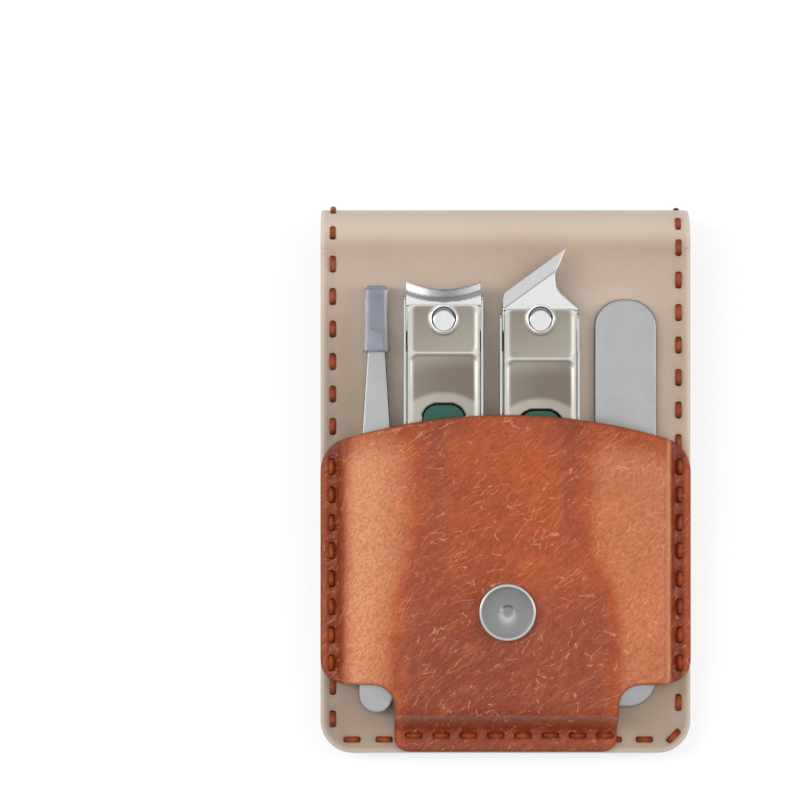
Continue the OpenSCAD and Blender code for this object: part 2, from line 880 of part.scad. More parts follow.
module cap_slice(y, w, h) {
    translate([0, y, 0])
        rotate([90, 0, 0])
            linear_extrude(0.1)
                translate([0, -h / 2])
                    rounded(w, h, 1.1);
}

module tip_cap() {
    color(clear)
        at_tweezers()
            translate([0, cap_y, middle_z])
                difference() {
                    hull() {
                        cap_slice(0.1, cap_w, cap_h + 2 * cap_wall);
                        cap_slice(cap_len, cap_w - 0.6, cap_h + 2 * cap_wall - 0.2);
                    }
                    hull() {
                        cap_slice(-0.5, cap_w - 2 * cap_wall, cap_h);
                        cap_slice(cap_len - 1, cap_w - 2 * cap_wall - 0.6, cap_h - 0.2);
                    }
                }
}

module nail_file() {
    color(steel)
        on_panel()
            translate([file_u, tail_v + 1, tool_lift])
                linear_extrude(file_t)
                    rounded(file_w, file_len, file_r);
}

back_leather();
back_board();
back_lining();
back_thread();
pocket_leather();
pocket_thread();
snap_disc();
snap_rivet();
snap_washer();
for (k = [1:links])
    fold_leather(k);
for (k = [1:links])
    fold_lining(k);
flap_leather();
flap_board();
flap_lining();
flap_thread();
magnet_cap();
magnet();
tweezers_rear_arm();
tweezers_front_arm();
tip_cap();
catcher(curved_u, ear_y);  // curved_clipper_catcher
lower_jaw(curved_u, false);  // curved_clipper_lower_jaw
upper_jaw(curved_u, false);  // curved_clipper_upper_jaw
post(curved_u);  // curved_clipper_post
pin(curved_u, curved_lever_w);  // curved_clipper_pin
lever(curved_u, curved_lever_w, 0);  // curved_clipper_lever
grip(curved_u, 0);  // curved_clipper_grip
catcher(slant_u, slant_ear_y);  // slant_clipper_catcher
lower_jaw(slant_u, true);  // slant_clipper_lower_jaw
upper_jaw(slant_u, true);  // slant_clipper_upper_jaw
post(slant_u);  // slant_clipper_post
pin(slant_u, slant_lever_w);  // slant_clipper_pin
lever(slant_u, slant_lever_w, slant_drop);  // slant_clipper_lever
grip(slant_u, slant_drop);  // slant_clipper_grip
nail_file();
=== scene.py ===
# A bifold manicure case, open on a table with its flap folded back, and the tools that it holds.
import json
import math
from collections import namedtuple

import bmesh
import bpy
import numpy as np
from mathutils import Matrix, Vector, noise


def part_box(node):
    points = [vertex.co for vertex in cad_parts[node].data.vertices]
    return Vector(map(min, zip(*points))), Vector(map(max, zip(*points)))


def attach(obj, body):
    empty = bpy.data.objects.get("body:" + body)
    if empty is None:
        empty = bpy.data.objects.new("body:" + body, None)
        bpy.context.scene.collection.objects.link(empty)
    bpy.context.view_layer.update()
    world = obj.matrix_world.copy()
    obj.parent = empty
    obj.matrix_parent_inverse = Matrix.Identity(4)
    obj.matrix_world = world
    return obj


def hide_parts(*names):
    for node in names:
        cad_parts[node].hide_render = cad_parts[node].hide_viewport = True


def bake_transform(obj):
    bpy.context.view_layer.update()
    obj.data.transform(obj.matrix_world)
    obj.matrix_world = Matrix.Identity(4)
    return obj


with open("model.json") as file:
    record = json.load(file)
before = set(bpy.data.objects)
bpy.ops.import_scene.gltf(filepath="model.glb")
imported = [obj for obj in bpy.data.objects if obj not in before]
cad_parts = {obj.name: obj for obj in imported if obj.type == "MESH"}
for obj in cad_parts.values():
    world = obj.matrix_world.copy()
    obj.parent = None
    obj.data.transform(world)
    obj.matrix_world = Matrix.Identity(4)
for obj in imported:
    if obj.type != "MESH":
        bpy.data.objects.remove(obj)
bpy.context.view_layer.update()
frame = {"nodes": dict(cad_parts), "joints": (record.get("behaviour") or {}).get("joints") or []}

MM = 0.001

# Sizes in millimetres, as the frame has them
PANEL_LEN = 102.9
CORNER_R = 6.5
LINING_T = 0.8
BOARD_T = 0.8
STACK_T = 2.8
HALF_FOLD = 1.0
BARE_FOLD = 1.9
HINGE_COUNT = 6
TAIL_V = 8.3
TOOL_LIFT = 0.3
POCKET_T = 1.3
POCKET_H = 10.8
# The middle of the snap, across the panel and up it
SNAP = (0.1, 28.7)
# How far in the seams run, and how far apart their stitches are
SEAM_INSET = 2.1
FOOT_INSET = 2.7
CASE_PITCH = 6.157
FRONT_PITCH = 6.5
POCKET_PITCH = 5.6
TAB_PITCH = 5.46


def joint(name):
    return next(j for j in frame["joints"] if j["name"] == name)


def across(node):
    """The least and the greatest x of a node, in millimetres."""
    low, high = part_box(node)
    return low[0] / MM, high[0] / MM


SIDE = (across("back_lining")[1] - across("back_lining")[0]) / 2
SEAM_U = SIDE - SEAM_INSET
SLIDE = joint("tweezers_slide")["axis"]
TILT = math.atan2(SLIDE[2], SLIDE[1])
HINGES = [Vector(joint(f"fold_turn_{k + 1}")["pos_m"]) for k in range(HINGE_COUNT)]
LINK = (HINGES[1] - HINGES[0]).length / MM
TURN = (math.pi + TILT) / HINGE_COUNT


def place(origin, tilt):
    return Matrix.Translation(origin) @ Matrix.Rotation(tilt, 4, "X") @ Matrix.Scale(MM, 4)


# Local frames in millimetres: x across, y up from the free end, z out of the lining
PANEL = place(HINGES[0], TILT) @ Matrix.Translation((0, -PANEL_LEN, HALF_FOLD))
# The flap's z runs from its lining, on the table, to its leather
FLAP = place(HINGES[-1], 0) @ Matrix.Translation((0, -PANEL_LEN, -HALF_FOLD))


def tool_frame(node):
    return PANEL @ Matrix.Translation((sum(across(node)) / 2, TAIL_V, TOOL_LIFT))


# Shapes

# Where the rings of a rounded rim lie, from its inner line to its edge
RINGS = (0.35, 0.65, 0.87, 1.0)
# The distance from an edge over which the finish can tell its depth
RIM_REACH = 5
# The least thickness of a sheet
LEAST_T = 0.02


def smooth(x, a=0.0, b=1.0):
    """A rise from 0 to 1 as x goes from a to b."""
    t = np.clip((x - a) / (b - a), 0, 1)
    return t * t * (3 - 2 * t)


def bell(x, middle, width):
    """A bump of height 1 about the middle."""
    return np.exp(-((x - middle) / width) ** 2)


def soft_min(a, b, k):
    """The lesser of two heights, blended where they are within k of each other."""
    h = np.clip(0.5 + 0.5 * (b - a) / k, 0, 1)
    return b + (a - b) * h - k * h * (1 - h)


def lumps(u, v, size, seed=0.0, octaves=2):
    """Smooth noise of about one, up and down, over points in millimetres."""
    return np.array([noise.fractal(Vector((x / size, y / size, seed)), 1.0, 2.0, octaves)
                     for x, y in zip(u, v)])


def level(height):
    """A face of a sheet that is flat at a height."""
    return lambda x, y, d: np.full(len(x), float(height))


def arc(x, y, r, a0, a1, n=10):
    """Points along an arc about (x, y), in degrees from a0 to a1."""
    a = np.radians(np.linspace(a0, a1, n + 1))
    return np.column_stack([x + r * np.cos(a), y + r * np.sin(a)])


def both_sides(right):
    """A closed outline from its right half, given upwards."""
    return np.vstack([right, (right * [-1, 1])[::-1]])


def round_rect(w, low, high, r_low, r_high=None, n=10):
    """A rectangle about x = 0 from low to high, with a corner radius at each end."""
    r_high = r_low if r_high is None else r_high
    return both_sides(np.vstack([
        arc(w / 2 - r_low, low + r_low, r_low, -90, 0, n),
        arc(w / 2 - r_high, high - r_high, r_high, 0, 90, n)]))


def edge_distance(points, loops):
    """How far each point is inside the loops, and the nearest place on them."""
    batch = 4000
    a = np.vstack(loops)
    ab = np.vstack([np.roll(loop, -1, axis=0) for loop in loops]) - a
    length2 = np.maximum((ab ** 2).sum(1), 1e-12)
    rise = np.where(ab[:, 1] == 0, 1e-12, ab[:, 1])
    distance, nearest = [], []
    for p in np.array_split(points[:, None], max(1, len(points) // batch)):
        t = np.clip(((p - a) * ab).sum(2) / length2, 0, 1)
        near = a + t[..., None] * ab
        gap = np.sqrt(((p - near) ** 2).sum(2))
        best = gap.argmin(1)
        rows = np.arange(len(p))
        above = a[:, 1] > p[..., 1]
        crosses = above != (a[:, 1] + ab[:, 1] > p[..., 1])
        left = p[..., 0] < a[:, 0] + (p[..., 1] - a[:, 1]) / rise * ab[:, 0]
        inside = (crosses & left).sum(1) % 2 == 1
        distance.append(np.where(inside, 1, -1) * gap[rows, best])
        nearest.append(near[rows, best])
    return np.concatenate(distance), np.vstack(nearest)


def depth_in(loop, x, y):
    """How far points are inside a loop."""
    return edge_distance(np.column_stack([x, y]), [loop])[0]


def rim_share(depth):
    """The distance from an edge as a share of the rim's reach, up to 1."""
    return np.minimum(depth, RIM_REACH) / RIM_REACH


def fill(loops, cell, rim):
    """Faces over what lies further than rim inside the loops: points, faces and how deep each point is.
    Grid points close to that line are pulled onto it."""
    pull = 0.3 * cell
    every = np.vstack(loops)
    low, high = every.min(0), every.max(0)
    nx, ny = (np.ceil((high - low) / cell).astype(int) + 2).tolist()
    start = (low + high - cell * np.array([nx - 1, ny - 1])) / 2
    grid = np.stack(np.meshgrid(np.arange(nx), np.arange(ny)), -1).reshape(-1, 2) * cell + start
    depth, nearest = edge_distance(grid, loops)
    near = abs(depth - rim) < pull
    out = nearest - grid
    out /= np.maximum(np.linalg.norm(out, axis=1), 1e-9)[:, None] * np.where(depth < 0, -1, 1)[:, None]
    grid[near] += out[near] * (depth[near] - rim)[:, None]
    depth[near] = rim
    inside = near | (depth > rim)
    index = np.arange(nx * ny).reshape(ny, nx)
    corners = np.stack([index[:-1, :-1], index[:-1, 1:], index[1:, 1:], index[1:, :-1]], -1).reshape(-1, 4)
    count = inside[corners].sum(1)
    faces = corners[count == 4].tolist()
    cuts, points = {}, list(grid)
    for cell_corners in corners[(count > 0) & (count < 4)].tolist():
        face = []
        for a, b in zip(cell_corners, cell_corners[1:] + cell_corners[:1]):
            if inside[a]:
                face.append(a)
            if inside[a] != inside[b] and not near[a if inside[a] else b]:
                key = (min(a, b), max(a, b))
                if key not in cuts:
                    t = (depth[a] - rim) / (depth[a] - depth[b])
                    cuts[key] = len(points)
                    points.append(grid[a] + t * (grid[b] - grid[a]))
                face.append(cuts[key])
        if len(face) > 2:
            faces.append(face)
    points = np.array(points)
    depth = np.concatenate([depth, np.full(len(points) - len(depth), rim)])
    used = np.zeros(len(points), bool)
    for face in faces:
        used[face] = True
    new = np.cumsum(used) - 1
    return points[used], [[int(new[i]) for i in face] for face in faces], depth[used]


def rounded(depth, r):
    """How far a rim of radius r falls away at that depth from the edge."""
    x = np.clip(r - depth, 0, r)
    return r - np.sqrt(np.maximum(r * r - x * x, 0))


def square_corners(loops):
    """The places where an outline turns outwards by more than 30 degrees."""
    least_sine = 0.5
    found = []
    for loop in loops:
        before, after = loop - np.roll(loop, 1, axis=0), np.roll(loop, -1, axis=0) - loop
        turn = before[:, 0] * after[:, 1] - before[:, 1] * after[:, 0]
        size = np.linalg.norm(before, axis=1) * np.linalg.norm(after, axis=1)
        found += list(loop[turn > least_sine * np.maximum(size, 1e-9)])
    return found


def plate(loops, top, bottom, cell=0.5, rim=0.4, low=0.2, soft=None):
    """A closed sheet between two heights, functions of (x, y, depth from the edge), with rounded rims.
    soft gives the loop that the rounding follows, where some edges stay square."""
    loops = [loops] if isinstance(loops, np.ndarray) else loops
    flat, faces, depth = fill(loops, cell, rim)
    edges = {(a, b) for face in faces for a, b in zip(face, face[1:] + face[:1])}
    border = [(a, b) for a, b in edges if (b, a) not in edges]
    rows = sorted({a for a, b in border} | {b for a, b in border})
    spot = {v: i for i, v in enumerate(rows)}
    base = flat[rows]
    nearest = edge_distance(base, loops)[1]
    for corner in square_corners(loops):
        nearest[np.linalg.norm(base - corner, axis=1).argmin()] = corner
    points, depths, ring_of = [flat], [depth], [rows]
    for k, f in enumerate(RINGS):
        points.append(base + (nearest - base) * f)
        depths.append(np.full(len(rows), rim * (1 - f)))
        ring_of.append([len(flat) + k * len(rows) + i for i in range(len(rows))])
    points, depths = np.vstack(points), np.concatenate(depths)
    around = depths if soft is None else np.maximum(edge_distance(points, [soft])[0], 0)
    x, y = points[:, 0], points[:, 1]
    upper = np.column_stack([x, y, top(x, y, around) - rounded(around, rim)])
    lower = np.column_stack([x, y, bottom(x, y, around) + rounded(around, low)])
    lower[:, 2] = np.minimum(lower[:, 2], upper[:, 2] - LEAST_T)
    n = len(points)
    for inner, outer in zip(ring_of, ring_of[1:]):
        faces += [[inner[spot[b]], inner[spot[a]], outer[spot[a]], outer[spot[b]]] for a, b in border]
    last = ring_of[-1]
    wall = [[last[spot[b]], last[spot[a]], last[spot[a]] + n, last[spot[b]] + n] for a, b in border]
    under = [[i + n for i in reversed(face)] for face in faces]
    return np.vstack([upper, lower]), faces + under + wall, np.tile(rim_share(around), 2)


def lathe(profile, n=72):
    """A solid turned about z from (radius, height) points that start and end on the axis."""
    points, faces, rings = [], [], []
    for r, z in profile:
        count = 1 if r == 0 else n
        rings.append(list(range(len(points), len(points) + count)))
        for a in np.linspace(0, 2 * math.pi, count, endpoint=False):
            points.append((r * math.cos(a), r * math.sin(a), z))
    for low, high in zip(rings, rings[1:]):
        for i in range(n):
            j = (i + 1) % n
            face = [low[i % len(low)], low[j % len(low)], high[j % len(high)], high[i % len(high)]]
            faces.append(list(dict.fromkeys(face)))
    return np.array(points), [face for face in faces if len(face) > 2], None


def loft(rings):
    """Quads between rings of as many points, with a face over each end."""
    n = len(rings[0])
    faces = [[k * n + i, k * n + (i + 1) % n, (k + 1) * n + (i + 1) % n, (k + 1) * n + i]
             for k in range(len(rings) - 1) for i in range(n)]
    faces += [list(range(n))[::-1], [(len(rings) - 1) * n + i for i in range(n)]]
    return np.vstack(rings), faces, None


def turned_over(shape, lift=0.0):
    """The same shape upside down, then lifted."""
    points, faces, rim = shape
    return points * [1, 1, -1] + [0, 0, lift], [face[::-1] for face in faces], rim


def joined(parts):
    """Several shapes as one."""
    points, faces, rims, start = [], [], [], 0
    for part_points, part_faces, part_rim in parts:
        points.append(part_points)
        rims.append(part_rim)
        faces += [[i + start for i in face] for face in part_faces]
        start += len(part_points)
    return np.vstack(points), faces, None if rims[0] is None else np.concatenate(rims)


def add_object(name, data):
    made = bpy.data.objects.new(name, data)
    bpy.context.scene.collection.objects.link(made)
    return made


def build(name, shape, material, at, body=None, nodes=(), outward=False, tone=None):
    """An object from a shape in millimetres, in the local frame at. outward turns its faces outwards.
    Its tone, a function of its points, is painted shade above 0, where the finish is darker, and a painted
    highlight below 0, where it is lighter."""
    points, faces, rim = shape
    m = np.array(at)
    mesh = bpy.data.meshes.new(name)
    mesh.from_pydata((points @ m[:3, :3].T + m[:3, 3]).tolist(), [], faces)
    mesh.shade_smooth()
    for key, values in (("rim", rim), ("tone", None if tone is None else tone(*points.T))):
        if values is not None:
            carried = mesh.attributes.new(key, "FLOAT", "POINT").data
            carried.foreach_set("value", values.astype(np.float32))
    if outward:
        bm = bmesh.new()
        bm.from_mesh(mesh)
        bmesh.ops.recalc_face_normals(bm, faces=bm.faces)
        bm.to_mesh(mesh)
        bm.free()
    mesh.materials.append(material)
    obj = add_object(name, mesh)
    if nodes:
        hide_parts(*nodes)
    if body:
        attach(obj, body)
    return obj


def sharpen(obj, degrees):
    """Marks the edges that turn by more than an angle as sharp."""
    bm = bmesh.new()
    bm.from_mesh(obj.data)
    for edge in bm.edges:
        if edge.is_manifold and edge.calc_face_angle() > math.radians(degrees):
            edge.smooth = False
    bm.to_mesh(obj.data)
    bm.free()


# Materials

def linear(r, g, b):
    """A colour from its screen values."""
    return [((c / 255 + 0.055) / 1.055) ** 2.4 if c > 10 else c / 255 / 12.92 for c in (r, g, b)] + [1]


def scaled(colour, factor):
    """Screen values made darker or lighter by a factor."""
    return [min(255, c * factor) for c in colour]


def feed(socket, value):
    """Gives an input a value, or links it to an output."""
    if isinstance(value, bpy.types.NodeSocket):
        socket.id_data.links.new(value, socket)
    else:
        socket.default_value = value


def add_node(tree, kind, inputs=None, **settings):
    """A shader node with its inputs fed."""
    made = tree.nodes.new("ShaderNode" + kind)
    for key, value in settings.items():
        setattr(made, key, value)
    for key, value in (inputs or {}).items():
        feed(made.inputs[key], value)
    return made


class Paint:
    """A material's node tree, with short calls for the nodes that the finishes share."""

    def __init__(self, name):
        self.material = bpy.data.materials.new(name)
        self.material.use_nodes = True
        self.tree = self.material.node_tree
        self.shader = self.tree.nodes["Principled BSDF"]
        self.place = self.node("VectorMath", {0: self.node("TexCoord").outputs["Object"], 1: (1 / MM,) * 3},
                               operation="MULTIPLY").outputs[0]

    def node(self, kind, inputs=None, **settings):
        return add_node(self.tree, kind, inputs, **settings)

    def set(self, **values):
        for key, value in values.items():
            feed(self.shader.inputs[key.replace("_", " ")], value)

    def math(self, operation, a, b=0.0, c=0.0):
        return self.node("Math", {0: a, 1: b, 2: c}, operation=operation).outputs[0]

    def carried(self, name):
        """The rim or the tone that a shape carries."""
        return self.node("Attribute", attribute_name=name).outputs["Fac"]

    def stretched(self, turn, size, vector=None, shift=0.0):
        """Places measured in lumps of the given size in millimetres, turned about z."""
        return self.node("Mapping", {"Vector": vector or self.place, "Rotation": (0, 0, turn), "Scale": size,
                                     "Location": (shift, shift, 0)}, vector_type="TEXTURE").outputs[0]

    def pushed(self, vector, reach, scale, detail):
        """Places moved about in the plane by noise, over lengths of about reach millimetres."""
        push = self.node("TexNoise", {"Vector": self.place, "Scale": scale, "Detail": detail})
        return self.node("VectorMath", {0: push.outputs["Color"], 1: (reach, reach, 0), 2: vector},
                         operation="MULTIPLY_ADD").outputs[0]

    def noise(self, scale, detail=3.0, vector=None, distortion=0.0, roughness=0.5):
        """Noise with lumps of about 1 / scale millimetres."""
        return self.node("TexNoise", {"Vector": vector or self.place, "Scale": scale, "Detail": detail,
                                      "Distortion": distortion, "Roughness": roughness}).outputs["Fac"]

    def cells(self, scale, vector=None, feature="DISTANCE_TO_EDGE"):
        return self.node("TexVoronoi", {"Vector": vector or self.place, "Scale": scale},
                         feature=feature).outputs["Distance"]

    def ramp(self, value, low, high, a=0.0, b=1.0):
        """A value from a to b as the input goes from low to high, smoothly."""
        return self.node("MapRange", {"Value": value, "From Min": low, "From Max": high, "To Min": a,
                                      "To Max": b}, interpolation_type="SMOOTHSTEP").outputs[0]

    def mix(self, factor, a, b, kind="MIX"):
        made = self.node("Mix", {"Factor": factor}, data_type="RGBA", blend_type=kind)
        for key, value in (("A", a), ("B", b)):
            feed(next(s for s in made.inputs if s.name == key and s.type == "RGBA"), value)
        return next(s for s in made.outputs if s.type == "RGBA")

    def total(self, *terms):
        """The sum of pairs of a value and its weight."""
        value = 0.0
        for term, weight in terms:
            value = self.math("MULTIPLY_ADD", term, weight, value)
        return value

    def toned(self, colour, dark, light):
        """A colour made darker or lighter by the tone that a shape carries: painted shade and painted
        highlights.
        """
        tone = self.carried("tone")
        colour = self.mix(self.node("Clamp", {"Value": tone}).outputs[0], colour, linear(*dark))
        less = self.node("Clamp", {"Value": self.math("MULTIPLY", tone, -1.0)}).outputs[0]
        return self.mix(less, colour, linear(*light))

    def bump(self, height, millimetres):
        self.set(Normal=self.node("Bump", {"Height": height, "Distance": millimetres * MM,
                                           "Strength": 1.0}).outputs[0])


# The leather's creases are the edges of long cells, in two sets: their size across, along and through in
# millimetres, their width as a share of a cell, and each set's turn and place against the first
CREASE_CELL = (1.5, 8.5, 80)
CREASE_W = 0.024
CREASE_SETS = ((0.0, 0.0), (-0.3, 67.0))
PORE_TINT = (0.70, 0.58, 0.5, 1)


def leather(name, angle, dark, middle, light, hair, painted_shade, painted_highlight):
    """Waxed brown leather: fine grain, short hair-like creases that run at an angle, and uneven colour, with
    painted shade and painted highlights where its shape's tone calls for them.
    """
    p = Paint(name)
    bent = p.pushed(p.pushed(p.place, 7, 0.05, 1.0), 0.8, 1.3, 2.0)
    crease = 0.0
    for turn, shift in CREASE_SETS:
        cells = p.cells(1.0, p.stretched(angle + turn, CREASE_CELL, bent, shift))
        edge = p.ramp(cells, 0.0, CREASE_W, 1.0, 0.0)
        broken = p.ramp(p.noise(0.45, 1.0, p.stretched(0, (1, 1, 1), None, shift)), 0.48, 0.55)
        crease = p.math("MAXIMUM", crease, p.math("MULTIPLY", edge, broken))
    grain = p.noise(1.0, 3.0, p.stretched(angle, (0.45, 0.9, 0.45)))
    wrinkle = p.noise(1.0, 3.0, p.stretched(angle, (1.0, 4.0, 4.0), bent))
    fine = p.noise(6.0, 2.0)
    patch = p.ramp(p.noise(0.045, 3.0, None, 0.6), 0.36, 0.66)
    colour = p.mix(patch, linear(*dark), linear(*middle))
    colour = p.mix(p.ramp(p.noise(0.12, 3.0, None, 1.0), 0.45, 0.75, 0.0, 0.4), colour, linear(*light))
    # Painted shade and painted highlights, as the shape's tone calls for them.
    colour = p.toned(colour, painted_shade, painted_highlight)
    colour = p.mix(p.ramp(grain, 0.36, 0.6, 0.75, 0.0), colour, PORE_TINT, "MULTIPLY")
    colour = p.mix(p.ramp(wrinkle, 0.5, 0.7, 0.0, 0.28), colour, linear(*light))
    colour = p.mix(p.math("MULTIPLY", crease, 0.48), colour, linear(*hair))
    colour = p.mix(p.ramp(p.carried("rim"), 0.0, 0.16, 0.6, 0.0), colour, linear(*scaled(dark, 0.7)))
    gloss = p.total((p.noise(0.35, 3.0), 0.14), (grain, 0.16), (crease, 0.06), (patch, -0.04), (fine, 0.24),
                    (1.0, 0.17))
    p.set(Base_Color=colour, Roughness=gloss, Specular_IOR_Level=0.24, Coat_Weight=0.06, Coat_Roughness=0.34)
    p.bump(p.total((grain, 0.7), (wrinkle, 0.6), (fine, 0.16), (crease, -0.3)), 0.09)
    return p.material


def lining_finish():
    """Smooth matt beige leather, with a painted highlight along its rounded edge."""
    p = Paint("lining_beige")
    fine = p.noise(6.0, 3.0)
    colour = p.mix(p.ramp(p.noise(0.05, 3.0), 0.35, 0.7), linear(176, 154, 135), linear(184, 163, 144))
    colour = p.mix(p.ramp(fine, 0.45, 0.75, 0.0, 0.25), colour, linear(160, 138, 120))
    colour = p.toned(colour, (122, 104, 90), (216, 200, 186))
    colour = p.mix(p.ramp(p.carried("rim"), 0.0, 0.28, 0.6, 0.0), colour, linear(222, 208, 194))
    p.set(Base_Color=colour, Roughness=p.total((fine, 0.14), (p.noise(0.3), 0.1), (p.noise(0.03), 0.66)),
          Specular_IOR_Level=0.3)
    p.bump(p.total((fine, 0.5), (p.cells(2.4, None, "F1"), 0.35), (p.noise(0.7), 0.6)), 0.05)
    return p.material


def thread_finish():
    """Waxed brown thread, with a painted highlight on top and painted shade where it enters its holes."""
    p = Paint("waxed_thread")
    fibre = p.noise(1.0, 2.0, p.stretched(0.5, (0.14, 0.56, 0.14)))
    ends = p.carried("rim")
    colour = p.mix(p.ramp(fibre, 0.35, 0.65), linear(78, 22, 4), linear(134, 47, 12))
    colour = p.mix(p.ramp(p.noise(0.4), 0.4, 0.7, 0.0, 0.5), colour, linear(170, 74, 24))
    colour = p.mix(p.ramp(ends, 0.4, 1.0, 0.0, 0.35), colour, linear(190, 90, 38))
    colour = p.mix(p.ramp(ends, 0.06, 0.36, 0.85, 0.0), colour, linear(42, 12, 4))
    p.set(Base_Color=colour, Roughness=p.ramp(fibre, 0.2, 0.8, 0.26, 0.42), Specular_IOR_Level=0.16,
          Coat_Weight=0.05, Coat_Roughness=0.2)
    p.bump(fibre, 0.05)
    return p.material


def steel(name, colour, roughness, grain=(6, 0.25, 6), spread=0.1, depth=0.006, dark=(70, 70, 71),
          light=(252, 252, 253)):
    """Bare metal with fine lines left by its finishing, which run along the slow axis of grain."""
    p = Paint(name)
    lines = p.noise(1.0, 4.0, p.stretched(0, [1 / g for g in grain]), 0.0, 0.6)
    smear = p.noise(0.16, 3.0)
    shade = p.mix(p.ramp(smear, 0.3, 0.7, 0.0, 0.25), linear(*colour), linear(*scaled(colour, 0.9)))
    shade = p.mix(p.ramp(lines, 0.3, 0.8, 0.0, 0.22), shade, linear(*scaled(colour, 1.1)))
    # dark and light are the colours of the painted shade and the painted highlights that a shape's tone calls
    # for.
    p.set(Metallic=1.0, Base_Color=p.toned(shade, dark, light),
          Roughness=p.total((lines, spread), (smear, spread), (1.0, roughness - spread)))
    p.bump(lines, depth)
    return p.material


def rubber_finish():
    """Soft matt green, dark along its edge."""
    p = Paint("green_grip")
    fine = p.noise(4.0, 3.0)
    colour = p.mix(p.ramp(fine, 0.3, 0.7), linear(22, 70, 58), linear(35, 92, 78))
    colour = p.mix(p.ramp(p.carried("rim"), 0.01, 0.045, 1.0, 0.0), colour, linear(8, 24, 22))
    p.set(Base_Color=colour, Roughness=p.ramp(fine, 0.3, 0.7, 0.34, 0.46), Specular_IOR_Level=0.25)
    p.bump(fine, 0.02)
    return p.material


def clear_finish():
    """Clear plastic, hazed by use."""
    p = Paint("clear_cap")
    haze = p.noise(0.5, 3.0)
    clear = p.mix(haze, (0.93, 0.91, 0.92, 1), (0.99, 0.97, 0.98, 1))
    p.set(Base_Color=p.toned(clear, (206, 212, 226), (255, 250, 249)), Transmission_Weight=0.86,
          Roughness=p.ramp(haze, 0.3, 0.7, 0.12, 0.26), IOR=1.3, Specular_IOR_Level=0.5)
    p.bump(haze, 0.02)
    return p.material


def card_finish():
    p = Paint("board_card")
    fibre = p.noise(1.0, 4.0, p.stretched(0.3, (0.4, 1.3, 0.4)))
    p.set(Base_Color=p.mix(fibre, linear(150, 132, 104), linear(184, 166, 138)),
          Roughness=p.ramp(fibre, 0, 1, 0.75, 0.9))
    p.bump(fibre, 0.05)
    return p.material


def magnet_finish():
    p = Paint("magnet_grey")
    grit = p.noise(3.0, 4.0)
    p.set(Base_Color=p.mix(grit, linear(52, 52, 54), linear(78, 78, 80)), Metallic=0.6,
          Roughness=p.ramp(grit, 0, 1, 0.4, 0.6))
    p.bump(grit, 0.02)
    return p.material


# Each leather's last two colours are its painted shade and its painted highlight.
POCKET_LEATHER = leather("pocket_leather_brown", -0.75, dark=(158, 67, 26), middle=(178, 81, 34),
                         light=(199, 101, 47), hair=(238, 168, 122), painted_shade=(128, 56, 34),
                         painted_highlight=(228, 158, 114))
CASE_LEATHER = leather("case_leather_brown", -0.5, dark=(132, 48, 20), middle=(158, 67, 30),
                       light=(186, 92, 46), hair=(226, 150, 108), painted_shade=(98, 30, 14), painted_highlight=(214, 130, 82))
LINING = lining_finish()
THREAD = thread_finish()
LEVER_STEEL = steel("lever_satin", (160, 158, 151), 0.32, (0.8, 5, 5), 0.05, 0.002, dark=(92, 84, 75),
                    light=(214, 213, 207))
BRIGHT_STEEL = steel("bright_steel", (158, 158, 159), 0.12, (5, 0.4, 5), 0.04, 0.002, dark=(84, 84, 86))
EDGE_STEEL = steel("ground_edge", (150, 151, 154), 0.2, (0.5, 6, 6), 0.06, 0.002)
SATIN_STEEL = steel("satin_steel", (131, 131, 132), 0.34, (4, 0.3, 4), 0.06)
SNAP_STEEL = steel("snap_metal", (100, 100, 99), 0.32, (3, 3, 3), 0.05, 0.003, dark=(60, 60, 60),
                   light=(196, 197, 196))
CATCHER_STEEL = steel("catcher_steel", (150, 150, 151), 0.2, (5, 0.3, 5), 0.06)
GRIP = rubber_finish()
CLEAR = clear_finish()

# Seams: the place and the turn of each stitch. The rows on the open side lie a little inside the seam's line

STITCH_LEN = 3.7
THREAD_W = 1.22
STITCH_RISE = 0.14
STITCH_DIVE = 0.95
# How deep the thread lies in the leather, in the lining, and in the lining that is on the table
SUNK = 0.16
LINING_SUNK = 0.12
TABLE_SUNK = 0.6
LEFT_U = 0.35 - SEAM_U
RIGHT_U = SEAM_U - 0.3
POCKET_U = SEAM_U - 0.15
ROW_END = PANEL_LEN - 3
RIGHT_END = PANEL_LEN - 1
# The stretch of the side rows that the pocket covers
COVERED = (13.5, 62)
# Where the first stitch of each row lies, and the middle of the tab's row
LEFT_START = 6.8
RIGHT_START = 10.1
SIDE_START = 7.2
POCKET_START = 18.1
TAB_MIDDLE = (0.75, 3.6)
# The front's stitches along the free end, in the corners that the pocket leaves free
FOOT_ROW = (-24.3, -30.7, 21.6, 27.8)
LEFT_ROW = [(LEFT_U, v, 0) for v in np.arange(LEFT_START, ROW_END, FRONT_PITCH)]
RIGHT_ROW = [(RIGHT_U, v, 0) for v in np.arange(RIGHT_START, RIGHT_END, FRONT_PITCH)]
SIDE_SEAM = [(x, v, 0) for v in np.arange(SIDE_START, ROW_END, CASE_PITCH) for x in (-SEAM_U, SEAM_U)]
POCKET_SEAM = [(x, POCKET_START + POCKET_PITCH * k, 0) for k in range(8) for x in (-POCKET_U, POCKET_U)]
TAB_SEAM = [(TAB_MIDDLE[0] + (k - 3.5) * TAB_PITCH, TAB_MIDDLE[1], 90) for k in range(8)]
# A stitch across a round corner, on the seam's arc
CORNER_S = (CORNER_R - SEAM_INSET) / math.sqrt(2)
CORNER_U = SIDE - CORNER_R + CORNER_S
CORNER_SEAM = [(s * CORNER_U, CORNER_R - CORNER_S, -45 * s) for s in (-1, 1)]
FRONT_SEAM = [spot for spot in LEFT_ROW + RIGHT_ROW if not COVERED[0] <= spot[1] <= COVERED[1]]
FRONT_SEAM += [(x, FOOT_INSET, 90) for x in FOOT_ROW] + CORNER_SEAM[1:]
FULL_SEAM = SIDE_SEAM + [(k * CASE_PITCH, FOOT_INSET, 90) for k in range(-4, 5)] + CORNER_SEAM


